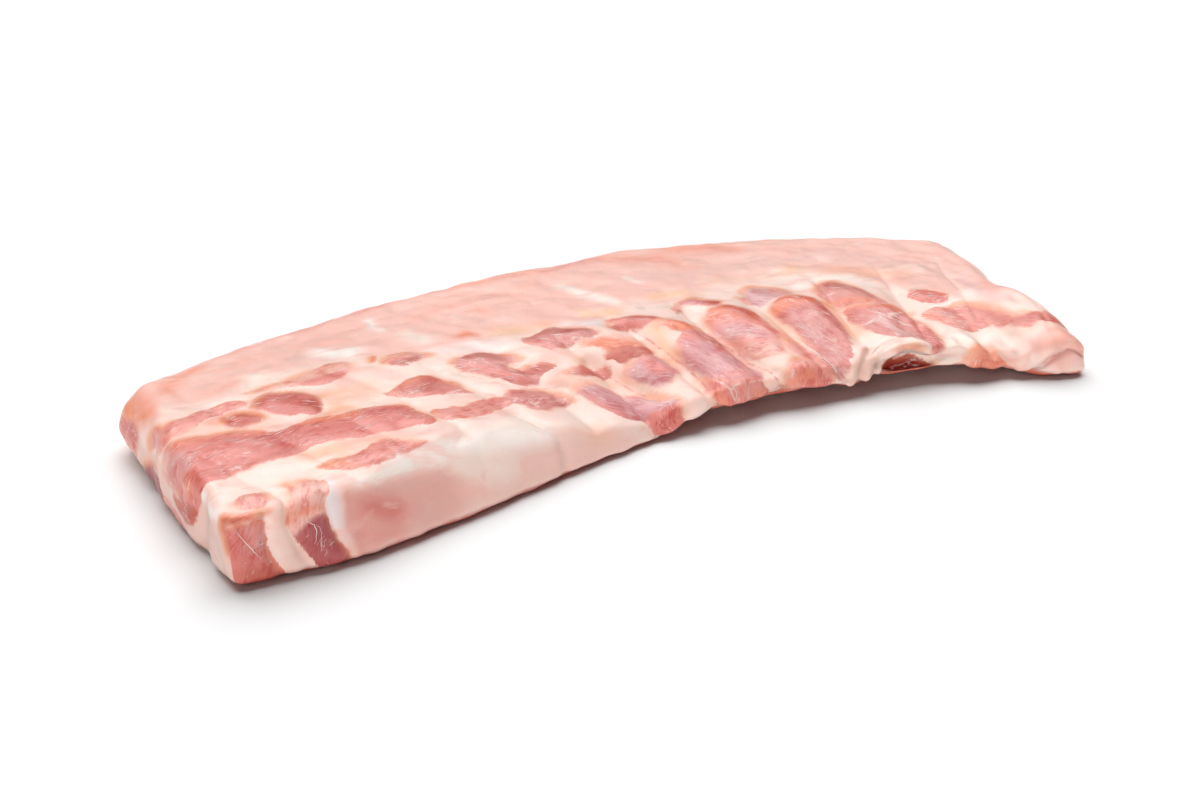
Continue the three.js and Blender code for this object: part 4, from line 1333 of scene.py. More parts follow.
@dataclass
class Painter:
    """Lays the anatomy's patches on the skin, in order."""

    reach: float = 8.0
    crisp_wander: float = 1.0
    soft_wander: float = 2.2
    fibre_stretch: float = 5.0
    fibre_wander: float = 3.0
    brow_step: float = 1.5
    patches: tuple[Patch, ...] = ANATOMY
    coarse: tuple[Drift, Drift] = field(default_factory=lambda: (Drift(11, 15.0), Drift(12, 15.0)))
    fine: tuple[Drift, Drift] = field(default_factory=lambda: (Drift(13, 5.0), Drift(14, 5.0)))
    bend: Drift = field(default_factory=lambda: Drift(15, 11.0))

    def lay(self, chart: Array) -> Paint:
        """Paints the whole chart.

        Args:
            chart: U and V of each point.

        Returns:
            The fields for the material and the relief.
        """
        u, v = chart[:, 0], chart[:, 1]
        count = len(u)
        crisp = self.wandered(u, v, self.crisp_wander)
        loose = self.wandered(u, v, self.soft_wander)
        paint = Paint(
            lean=np.full(count, self.reach),
            edge=np.full(count, 0.7),
            brow=np.zeros(count),
            lean_tint=np.tile(linear(Tone.ROSE.value)[:3], (count, 1)),
            fat_tint=np.tile(linear(Tone.SOFT_FAT.value)[:3], (count, 1)),
            fibre=self.fibre_of(u, v, 10.0, 0),
            film=np.zeros(count),
            sinew=np.tile((self.reach, self.reach, 0.0), (count, 1)),
            crease=np.tile((self.reach, self.reach, 0.0), (count, 1)),
            sinew_apart=np.full(count, self.reach),
            crease_apart=np.full(count, self.reach),
            crease_colour_and_shade=np.tile(linear(Tone.RED.value)[:3], (count, 1)),
            way=np.tile((1.0, 0.0, 0.0), (count, 1)),
        )
        for number, patch in enumerate(self.patches):
            places = loose if patch.soft > 1.5 else crisp
            low_u, high_u, low_v, high_v = patch.box(self.reach + 2 * patch.soft)
            near = np.flatnonzero((u > low_u) & (u < high_u) & (v > low_v) & (v < high_v))
            if len(near):
                self.lay_patch(paint, patch, number, near, places[:, near])
        return paint

    def wandered(self, u: Array, v: Array, amount: float) -> Array:
        """Moves places on the chart about, so that no edge is drawn with a ruler.

        Args:
            u: places on the chart.
            v: places on the chart.
            amount: how far they move, in mm.

        Returns:
            The moved U and V, as two rows.
        """
        shift_u = self.coarse[0].at(u, v) + 0.5 * self.fine[0].at(u, v)
        shift_v = self.coarse[1].at(u, v) + 0.5 * self.fine[1].at(u, v)
        return np.stack([u + amount * shift_u, v + amount * shift_v])

    def fibre_of(self, u: Array, v: Array, grain: float, number: int) -> Array:
        """Coordinates in mm that are stretched along the fibres, for streaks.

        Args:
            u: places on the chart.
            v: places on the chart.
            grain: the direction of the fibres in degrees.
            number: the patch's number, which sets its streaks apart from the next one's.

        Returns:
            Three columns: along the fibres, across them, and the patch's own layer.
        """
        turn = math.radians(grain)
        along = u * math.cos(turn) + v * math.sin(turn)
        across = v * math.cos(turn) - u * math.sin(turn) + self.fibre_wander * self.bend.at(u, v)
        layer = np.full(u.shape, 7.0 * number)
        return np.stack([along / self.fibre_stretch, across, layer], 1)

    def lay_patch(self, paint: Paint, patch: Patch, number: int, near: Array, places: Array) -> None:
        """Lays one patch.

        Args:
            paint: the fields, which are changed.
            patch: the patch.
            number: its place in the order.
            near: the points within its reach.
            places: their U and V.
        """
        if patch.coat in (SINEW, CREASE):
            self.draw_line(paint, patch, near, places)
            return
        apart = patch.distance(places[0], places[1])
        share = (patch.amount * smooth(0.5 - apart / (2 * patch.soft)))[:, None]
        tone = np.array(linear(patch.tone.value)[:3])
        if patch.coat is Coat.LEAN:
            nearer = apart < paint.lean[near]
            won = near[nearer]
            above = patch.distance(places[0][nearer], places[1][nearer] + self.brow_step)
            slope = (above - apart[nearer]) / self.brow_step
            paint.brow[won] = smooth(0.5 + 0.8 * slope)
            paint.edge[won] = patch.soft
            paint.fibre[won] = self.fibre_of(places[0][nearer], places[1][nearer], patch.grain, number)
            turn = math.radians(patch.grain)
            paint.way[won] = (math.cos(turn), math.sin(turn), 0.0)
            paint.lean_tint[won] = mix(paint.lean_tint[won], tone, smooth(1.5 - apart[nearer] / 2)[:, None])
            paint.lean[near] = np.minimum(paint.lean[near], apart)
        elif patch.coat is Coat.FAT:
            paint.lean[near] = np.maximum(paint.lean[near], -apart)
            paint.fat_tint[near] = mix(paint.fat_tint[near], tone, share)
        elif patch.coat is Coat.STAIN:
            paint.lean_tint[near] = mix(paint.lean_tint[near], tone, share)
        elif patch.coat is Coat.BLUSH:
            paint.fat_tint[near] = mix(paint.fat_tint[near], tone, share)
        else:
            paint.film[near] = np.maximum(paint.film[near], share[:, 0])

    def draw_line(self, paint: Paint, patch: Patch, near: Array, places: Array) -> None:
        """Draws a thread, or a fold whose colour is partly painted shade.

        Args:
            paint: the fields, which are changed.
            patch: the patch.
            near: the points within its reach.
            places: their U and V.
        """
        line = line_fields(patch.shape, places[0], places[1])
        if patch.coat is Coat.SINEW:
            field_of, apart_of = paint.sinew, paint.sinew_apart
        else:
            field_of, apart_of = paint.crease, paint.crease_apart
        nearer = line.apart < apart_of[near]
        won = near[nearer]
        apart_of[won] = line.apart[nearer]
        field_of[won] = np.stack([line.across, line.beyond, line.half], 1)[nearer]
        if patch.coat is Coat.CREASE:
            paint.crease_colour_and_shade[won] = linear(patch.tone.value)[:3]


# ---- the rack's mesh -----------------------------------------------------------------------------


@dataclass
class Underside:
    """The bone side: flat ribs under a thin skin, with lean meat between them, and painted shade along its
    near edge and at the foot of the walls.
    """

    lean_half: float = 6.0
    rim: float = 9.0
    # Painted shade at the foot of the walls: how high it reaches, as a share of the wall, and how strong it
    # is.
    rim_share: float = 0.13
    foot_shade_strength: float = 0.85
    # How far in from the near edge the bone side carries painted shade.
    rim_depth: float = 22.0

    def lay(self, paint: Paint, form: RackForm, chart: Array) -> None:
        """Paints the bone side.

        Args:
            paint: the fields, which are changed.
            form: the rack's form, which has the ribs.
            chart: U and V of each point.
        """
        under = np.flatnonzero(chart[:, 1] < -form.underside_offset / 2)
        x, y = chart[under, 0], chart[under, 1] + form.underside_offset
        drift = Drift(31, 12.0).at(x, y) + 0.6 * Drift(32, 5.0).at(x, y)
        across = form.rib_across(x, y) + 1.2 * drift
        to_crease = np.abs(across - form.rib_pitch * np.round(across / form.rib_pitch))
        from_rim = self.rim - np.minimum(y - form.near_edge(x), form.far_edge(x) - y)
        from_ends = np.abs(x) - (form.length / 2 - self.rim)
        apart = np.maximum.reduce([to_crease - self.lean_half, from_rim + 2 * drift, from_ends + 2 * drift])
        paint.lean[under] = np.clip(apart, -8, 8)
        paint.edge[under] = 1.6
        paint.lean_tint[under] = mix(
            np.array(linear(Tone.ROSE_DUSK.value)[:3]), np.array(linear(Tone.RED.value)[:3]),
            smooth(0.5 + drift)[:, None],
        )
        bone = np.array(linear(Tone.BONE.value)[:3])
        membrane = np.array(linear(Tone.MEMBRANE.value)[:3])
        paint.fat_tint[under] = mix(membrane, bone, smooth((to_crease - 7) / 5)[:, None])
        # Painted shade: the bone side turns rust red towards the near edge, where the lifted edge leaves it
        # in shade over the floor.
        edge = (1 - smooth((y - form.near_edge(x)) / self.rim_depth))[:, None]
        gap_shade_tone = np.array(linear(Tone.RUST.value)[:3])
        paint.fat_tint[under] = mix(paint.fat_tint[under], gap_shade_tone, edge)
        paint.film[under] = 0.35 + 0.2 * drift
        paint.fibre[under] = np.stack([y / 8.0, x, np.full(len(under), 3.0)], 1)

    def paint_shade_at_foot(self, paint: Paint, skin: Skin) -> None:
        """Paints shade on the lowest edge of the walls: a deep red, strongest at the floor, where shade
        falls.

        Args:
            paint: the fields, which are changed.
            skin: the surface, which says how high each point lies.
        """
        on_wall = skin.chart[:, 1] > -250
        share = self.foot_shade_strength * (1 - smooth(skin.up / self.rim_share)) * on_wall
        tone = np.array(linear(Tone.SHADED_RED.value)[:3])
        paint.fat_tint[:] = mix(paint.fat_tint, tone, share[:, None])
        paint.lean_tint[:] = mix(paint.lean_tint, tone, share[:, None])


@dataclass
class RackMesh:
    """The visible rack: the form, its relief and its paint as one closed mesh."""

    form: RackForm = field(default_factory=RackForm)
    painter: Painter = field(default_factory=Painter)
    underside: Underside = field(default_factory=Underside)
    swells: tuple[Swell, ...] = RELIEF
    swell_reach: float = 2.6
    lean_dome: float = 0.6
    crease_depth: float = 0.4
    crease_half: float = 1.9
    sinew_height: float = 0.15
    sinew_half: float = 1.5
    lump: float = 0.4
    crag: float = 0.7
    ceiling: float = 30.9
    ceiling_ease: float = 0.25
    skin: Skin | None = None

    def build(self) -> bpy.types.Object:
        """Builds the mesh.

        Returns:
            The object, with its attributes.
        """
        skin = self.form.build()
        paint = self.painter.lay(skin.chart)
        self.underside.lay(paint, self.form, skin.chart)
        # Painted shade along the foot of the walls.
        self.underside.paint_shade_at_foot(paint, skin)
        skin.points = skin.points + skin.normals() * self.relief(skin, paint)[:, None]
        over = np.logaddexp(0.0, (skin.points[:, 2] - self.ceiling) / self.ceiling_ease)
        skin.points[:, 2] = np.maximum(skin.points[:, 2] - self.ceiling_ease * over, 0.0)
        mesh = bpy.data.meshes.new("rack_skin")
        mesh.from_pydata((skin.points * MM).tolist(), [], skin.quads.tolist())
        mesh.shade_smooth()
        self.write_paint(mesh, paint)
        self.write_grounds(mesh, skin, paint)
        mesh.update()
        self.skin = skin
        return link_to_scene("rack_skin", mesh)

    def write_grounds(self, mesh: bpy.types.Mesh, skin: Skin, paint: Paint) -> None:
        """Writes where threads lie, and which way the fibres run.

        Args:
            mesh: the mesh.
            skin: its skin.
            paint: its paint, as threads keep to the lean.
        """
        strands = ground_share(STRAND_GROUNDS, skin.chart) * smooth(-paint.lean)
        layer = mesh.attributes.new("strands", "FLOAT", "POINT")
        layer.data.foreach_set("value", strands.astype(np.float32))
        layer = mesh.attributes.new("way", "FLOAT_VECTOR", "POINT")
        layer.data.foreach_set("vector", paint.way.astype(np.float32).ravel())

    def relief(self, skin: Skin, paint: Paint) -> Array:
        """How far each point stands out along its normal, in mm.

        Args:
            skin: the surface.
            paint: its paint.

        Returns:
            The heights.
        """
        u, v = skin.chart[:, 0], skin.chart[:, 1]
        dome = self.lean_dome * (1 - np.exp(np.minimum(paint.lean, 0) / 3.0))
        crease = self.crease_depth * bell(np.maximum(paint.crease_apart, 0) / self.crease_half)
        sinew = self.sinew_height * bell(np.maximum(paint.sinew_apart, 0) / self.sinew_half)
        lumps = self.lump * (Drift(41, 9.0).at(u, v) + 0.5 * Drift(42, 4.5).at(u, v))
        skirt = smooth((u + 30) / 30) * (skin.grid[:, 1] == 0) * (1 - smooth(skin.up * 1.6))
        crags = self.crag * skirt * (Drift(43, 6.0).at(u, v) + 0.7 * Drift(44, 3.2).at(u, v))
        return dome - crease + sinew + lumps + crags + self.swelling(u, v)

    def swelling(self, u: Array, v: Array) -> Array:
        """How far the ridges and valleys lift each point, in mm.

        Args:
            u: places on the chart.
            v: places on the chart.

        Returns:
            The heights.
        """
        height = np.zeros(u.shape)
        for swell in self.swells:
            radius = max(p[2] for p in swell.route)
            us, vs = [p[0] for p in swell.route], [p[1] for p in swell.route]
            far = radius + self.swell_reach * swell.half
            near = np.flatnonzero(
                (u > min(us) - far) & (u < max(us) + far) & (v > min(vs) - far) & (v < max(vs) + far)
            )
            apart = np.maximum(blade_distance(swell.route, u[near], v[near]), 0.0)
            height[near] += swell.rise * bell(apart / swell.half)
        return height

    def write_paint(self, mesh: bpy.types.Mesh, paint: Paint) -> None:
        """Writes the paint as attributes of the mesh's points.

        Args:
            mesh: the mesh.
            paint: the paint.
        """
        for name in ("lean", "edge", "film", "brow"):
            layer = mesh.attributes.new(name, "FLOAT", "POINT")
            layer.data.foreach_set("value", getattr(paint, name).astype(np.float32))
        for name in ("lean_tint", "fat_tint", "crease_colour_and_shade"):
            values = np.concatenate([getattr(paint, name), np.ones((len(paint.lean), 1))], 1)
            layer = mesh.attributes.new(name, "FLOAT_COLOR", "POINT")
            layer.data.foreach_set("color", values.astype(np.float32).ravel())
        for name in ("fibre", "sinew", "crease"):
            layer = mesh.attributes.new(name, "FLOAT_VECTOR", "POINT")
            layer.data.foreach_set("vector", getattr(paint, name).astype(np.float32).ravel())


# ---- cords and threads: what repeats on the surface ----------------------------------------------


SINEW_ROUTES = (
    # Fine white cords on the cut blocks, and over the muscles beside them.
    ((-187, -89, 0.06), (-184.5, -94, 0.18), (-182, -98.5, 0.21), (-179.5, -103, 0.06)),
    ((-182, -98.5, 0.06), (-177.5, -97.5, 0.12)),
    ((-161, -92.5, 0.06), (-158, -95, 0.18), (-157.5, -99, 0.15), (-159, -103, 0.06)),
    ((-157.5, -95, 0.06), (-155.5, -98, 0.12), (-156.5, -102, 0.06)),
    ((34.5, -46, 0.06), (36, -52, 0.18), (35.5, -60, 0.06)),
    ((78, -28, 0.06), (80.5, -38, 0.21), (82, -48, 0.18), (84.5, -57, 0.06)),
    ((114, -25, 0.03), (119, -31, 0.12), (124, -36, 0.12), (129, -41, 0.03)),
    ((108, -33.5, 0.03), (116, -33.8, 0.12), (124, -32, 0.12), (130, -30.5, 0.03)),
    ((-2, -36, 0.06), (4, -42, 0.18), (9, -45, 0.06)),
)

STRAND_GROUNDS = (
    # Where loose threads of connective tissue lie thickest.
    ((-200, -34, 8), (-160, -36, 8), (-120, -38, 6), (-102, -38, 5)),
    ((-150, -8, 5), (-134, -14, 6)),
    ((-140, -64, 3), (-112, -60, 4)),
    ((-96, -20, 3), (-80, -17, 7), (-72, -24, 3)),
    ((-88, 9, 4), (-76, 10, 4)),
    ((-64, -4, 4), (-50, -16, 6)),
    ((-52, -33, 6), (-40, -35, 5)),
    ((-24, 2, 5), (-10, 2, 5)),
    ((-24, -32, 4), (-6, -40, 6), (8, -46, 4)),
    ((6, -26, 6), (14, -30, 6)),
    ((32, -18, 6), (38, -32, 8), (44, -44, 5)),
    ((55, -20, 5), (64, -24, 5)),
    ((88, -12, 6), (90, -30, 7), (86, -46, 4)),
    ((112, -4, 5), (118, -14, 5)),
    ((112, -28, 5), (122, -38, 7), (130, -50, 4)),
    ((146, -22, 5), (152, -40, 6)),
    ((-186, -94, 5), (-182, -106, 6)),
    ((-160, -98, 5), (-154, -108, 5)),
    ((-206, 18, 4), (-208, -4, 4), (-206, -44, 4)),
)


@dataclass
class GrowthTree:
    """A Geometry Nodes tree that is built here, run once on a mesh and kept as a plain mesh."""

    name: str
    tree: bpy.types.NodeTree = field(init=False)
    start: bpy.types.Node = field(init=False)

    def __post_init__(self) -> None:
        """Makes the empty tree with its geometry sockets."""
        self.tree = bpy.data.node_groups.new(self.name, "GeometryNodeTree")
        self.tree.interface.new_socket("Geometry", in_out="OUTPUT", socket_type="NodeSocketGeometry")
        self.tree.interface.new_socket("Geometry", in_out="INPUT", socket_type="NodeSocketGeometry")
        self.start = self.tree.nodes.new("NodeGroupInput")

    def size(self, name: str, kind: str = "NodeSocketFloat") -> bpy.types.NodeSocket:
        """Adds a named input and gives the socket that reads it."""
        self.tree.interface.new_socket(name, in_out="INPUT", socket_type=kind)
        return self.start.outputs[name]

    def add(self, kind: str, inputs: dict | None = None, **settings) -> bpy.types.Node:
        """Adds a node to this tree."""
        return add_node(self.tree, kind, inputs, **settings)

    def named(self, name: str, kind: str) -> bpy.types.NodeSocket:
        """Reads an attribute by its name."""
        reader = self.add("GeometryNodeInputNamedAttribute", {"Name": name}, data_type=kind)
        return reader.outputs["Attribute"]

    def finish(self, shape: bpy.types.NodeSocket, material: bpy.types.Material) -> None:
        """Ends the tree: real geometry, with its material.

        Args:
            shape: the geometry.
            material: its material.
        """
        for kind, inputs in (
            ("GeometryNodeSetShadeSmooth", {}),
            ("GeometryNodeRealizeInstances", {}),
            ("GeometryNodeSetMaterial", {"Material": material}),
        ):
            shape = self.add(kind, {"Geometry": shape, **inputs}).outputs["Geometry"]
        self.add("NodeGroupOutput", {"Geometry": shape})

    def grow(self, base: bpy.types.Mesh, values: dict[str, float]) -> bpy.types.Object:
        """Runs the tree on a mesh and keeps the result as a plain mesh object.

        Args:
            base: the mesh that the tree starts from.
            values: a value for each named input.

        Returns:
            The object, without a modifier.
        """
        host = link_to_scene(f"{self.name}_host", base)
        modifier = host.modifiers.new(self.name, "NODES")
        modifier.node_group = self.tree
        for item in self.tree.interface.items_tree:
            if item.in_out == "INPUT" and item.name in values:
                modifier[item.identifier] = values[item.name]
        host.update_tag()
        seen = host.evaluated_get(bpy.context.evaluated_depsgraph_get())
        mesh = bpy.data.meshes.new_from_object(seen)
        mesh.name = self.name
        host.modifiers.remove(modifier)
        bpy.data.objects.remove(host)
        return link_to_scene(self.name, mesh)


@dataclass
class Strands:
    """White threads of connective tissue: cords along named routes, and loose threads on the lean."""

    # Cords: the distance between points, how far they stand out of the skin, and their sides.
    cord_step: float = 0.8
    cord_rise: float = -0.03
    cord_sides: int = 6
    neighbours: int = 4
    least_apart: float = 0.05
    # Threads: how many to a square metre, and their sizes in mm.
    density: float = 30000.0
    length: float = 6.5
    shortest_share: float = 0.35
    thickness: float = 0.08
    finest: float = 0.03
    bend: float = 2.2
    bend_pitch: float = 7.0
    thread_points: int = 10
    thread_sides: int = 4
    seed: int = 5

    def cords(self, skin: Skin, normals: Array, material: bpy.types.Material) -> bpy.types.Object:
        """Lays the cords along their routes on the skin.

        Args:
            skin: the finished skin.
            normals: its normals.
            material: the cords' material.

        Returns:
            The cords.
        """
        points, edges, halves = [], [], []
        for route in SINEW_ROUTES:
            for u, v, half in curved(route, self.cord_step):
                apart = np.hypot(skin.chart[:, 0] - u, skin.chart[:, 1] - v)
                close = np.argsort(apart)[: self.neighbours]
                share = 1 / (apart[close] + self.least_apart)
                share /= share.sum()
                place = share @ skin.points[close] + self.cord_rise * (share @ normals[close])
                if halves and (u, v) != tuple(route[0][:2]):
                    edges.append((len(points) - 1, len(points)))
                points.append(tuple(place * MM))
                halves.append(half * MM)
        base = bpy.data.meshes.new("cord_routes")
        base.from_pydata(points, edges, [])
        base.attributes.new("half", "FLOAT", "POINT").data.foreach_set("value", halves)
        growth = GrowthTree("sinew_cords")
        resolution = growth.size("Sides", "NodeSocketInt")
        curve = growth.add("GeometryNodeMeshToCurve", {"Mesh": growth.start.outputs["Geometry"]})
        ring = growth.add("GeometryNodeCurvePrimitiveCircle", {"Resolution": resolution, "Radius": 1.0})
        tube = growth.add("GeometryNodeCurveToMesh", {
            "Curve": curve.outputs["Curve"], "Profile Curve": ring.outputs["Curve"], "Fill Caps": True,
            "Scale": growth.named("half", "FLOAT"),
        })
        growth.finish(tube.outputs["Mesh"], material)
        return growth.grow(base, {"Sides": self.cord_sides})

    def threads(self, rack: bpy.types.Object, material: bpy.types.Material) -> bpy.types.Object:
        """Scatters loose threads over the rack, drawn out along its fibres and bent at random.

        Args:
            rack: the rack, whose mesh says where threads lie and which way its fibres run.
            material: the threads' material.

        Returns:
            The threads.
        """
        growth = GrowthTree("loose_threads")
        density, length, thickness, bend, pitch = (
            growth.size(name) for name in ("Density", "Length", "Thickness", "Bend", "Bend Pitch")
        )
        seed = growth.size("Seed", "NodeSocketInt")
        skin = growth.start.outputs["Geometry"]
        amount = growth.add(
            "ShaderNodeMath", {0: growth.named("strands", "FLOAT"), 1: density}, operation="MULTIPLY",
        ).outputs[0]
        sown = growth.add(
            "GeometryNodeDistributePointsOnFaces", {"Mesh": skin, "Density": amount, "Seed": seed},
        )
        drawn = growth.add(
            "FunctionNodeAlignRotationToVector", {"Vector": growth.named("way", "FLOAT_VECTOR")}, axis="X",
        ).outputs["Rotation"]
        lying = growth.add(
            "FunctionNodeAlignRotationToVector", {"Rotation": drawn, "Vector": sown.outputs["Normal"]},
            axis="Z", pivot_axis="X",
        ).outputs["Rotation"]
        line = growth.add("GeometryNodeCurvePrimitiveLine", {"Start": (-0.5, 0, 0), "End": (0.5, 0, 0)})
        line = growth.add("GeometryNodeResampleCurve", {
            "Curve": line.outputs["Curve"], "Count": self.thread_points,
        })
        share = growth.add(
            "FunctionNodeRandomValue", {2: self.shortest_share, 3: 1.0, "Seed": seed}, data_type="FLOAT",
        ).outputs[1]
        long = growth.add("ShaderNodeMath", {0: share, 1: length}, operation="MULTIPLY").outputs[0]
        placed = growth.add("GeometryNodeInstanceOnPoints", {
            "Points": sown.outputs["Points"], "Instance": line.outputs["Curve"], "Rotation": lying,
            "Scale": long,
        }).outputs["Instances"]
        lines = growth.add("GeometryNodeRealizeInstances", {"Geometry": placed}).outputs["Geometry"]
        place = growth.add("GeometryNodeInputPosition").outputs["Position"]
        scale = growth.add("ShaderNodeMath", {0: 1.0, 1: pitch}, operation="DIVIDE").outputs[0]
        wind = growth.add(
            "ShaderNodeTexNoise", {"Vector": place, "Scale": scale, "Detail": 2.0}, noise_dimensions="3D",
        ).outputs["Color"]
        wind = growth.add(
            "ShaderNodeVectorMath", {0: wind, 1: (0.5, 0.5, 0.5)}, operation="SUBTRACT",
        ).outputs["Vector"]
        wind = growth.add(
            "ShaderNodeVectorMath", {0: wind, "Scale": bend}, operation="SCALE",
        ).outputs["Vector"]
        moved = growth.add("ShaderNodeVectorMath", {0: place, 1: wind}, operation="ADD").outputs["Vector"]
        landed = growth.add(
            "GeometryNodeSampleNearestSurface", {"Mesh": skin, "Value": place, "Sample Position": moved},
            data_type="FLOAT_VECTOR",
        ).outputs["Value"]
        laid = growth.add("GeometryNodeSetPosition", {"Geometry": lines, "Position": landed})
        along = growth.add("GeometryNodeSplineParameter").outputs["Factor"]
        taper = growth.add(
            "ShaderNodeMapRange", {"Value": along, "From Max": 1.0, "To Min": 0.0, "To Max": math.pi},
        ).outputs["Result"]
        taper = growth.add("ShaderNodeMath", {0: taper}, operation="SINE").outputs[0]
        half = growth.add(
            "ShaderNodeMath", {0: taper, 1: thickness, 2: self.finest * MM}, operation="MULTIPLY_ADD",
        ).outputs[0]
        ring = growth.add(
            "GeometryNodeCurvePrimitiveCircle", {"Resolution": self.thread_sides, "Radius": 1.0},
        )
        tube = growth.add("GeometryNodeCurveToMesh", {
            "Curve": laid.outputs["Geometry"], "Profile Curve": ring.outputs["Curve"], "Scale": half,
        })
        growth.finish(tube.outputs["Mesh"], material)
        return growth.grow(rack.data, {
            "Density": self.density, "Length": self.length * MM, "Thickness": self.thickness * MM,
            "Bend": self.bend * MM, "Bend Pitch": self.bend_pitch * MM, "Seed": self.seed,
        })


def curved(route: tuple[Point, ...], step: float) -> list[Point]:
    """Rounds a route of points and divides it evenly.

    Args:
        route: rows of U, V and half width.
        step: the distance between points, in mm.

    Returns:
        Points along it, the first of them the route's own first.
    """
    line = np.array(route, float)
    for _ in range(2):
        quarter = line[:-1] * 0.75 + line[1:] * 0.25
        three = line[:-1] * 0.25 + line[1:] * 0.75
        middle = np.stack([quarter, three], 1).reshape(-1, 3)
        line = np.concatenate([line[:1], middle[1:-1], line[-1:]])
    reach = np.concatenate([[0.0], np.cumsum(np.hypot(*np.diff(line[:, :2], axis=0).T))])
    stops = np.linspace(0.0, reach[-1], max(int(reach[-1] / step), 2))
    return [tuple(float(np.interp(stop, reach, line[:, k])) for k in range(3)) for stop in stops]


def ground_share(grounds: tuple[tuple[Point, ...], ...], chart: Array, fade: float = 3.0) -> Array:
    """1 on any of some grounds and 0 away from them.

    Args:
        grounds: each a blade on the chart.
        chart: U and V of each point.
        fade: how far each fades out, in mm.

    Returns:
        The shares.
    """
    apart = np.minimum.reduce([blade_distance(ground, chart[:, 0], chart[:, 1]) for ground in grounds])
    return smooth(0.5 - apart / fade)


# ---- materials -----------------------------------------------------------------------------------


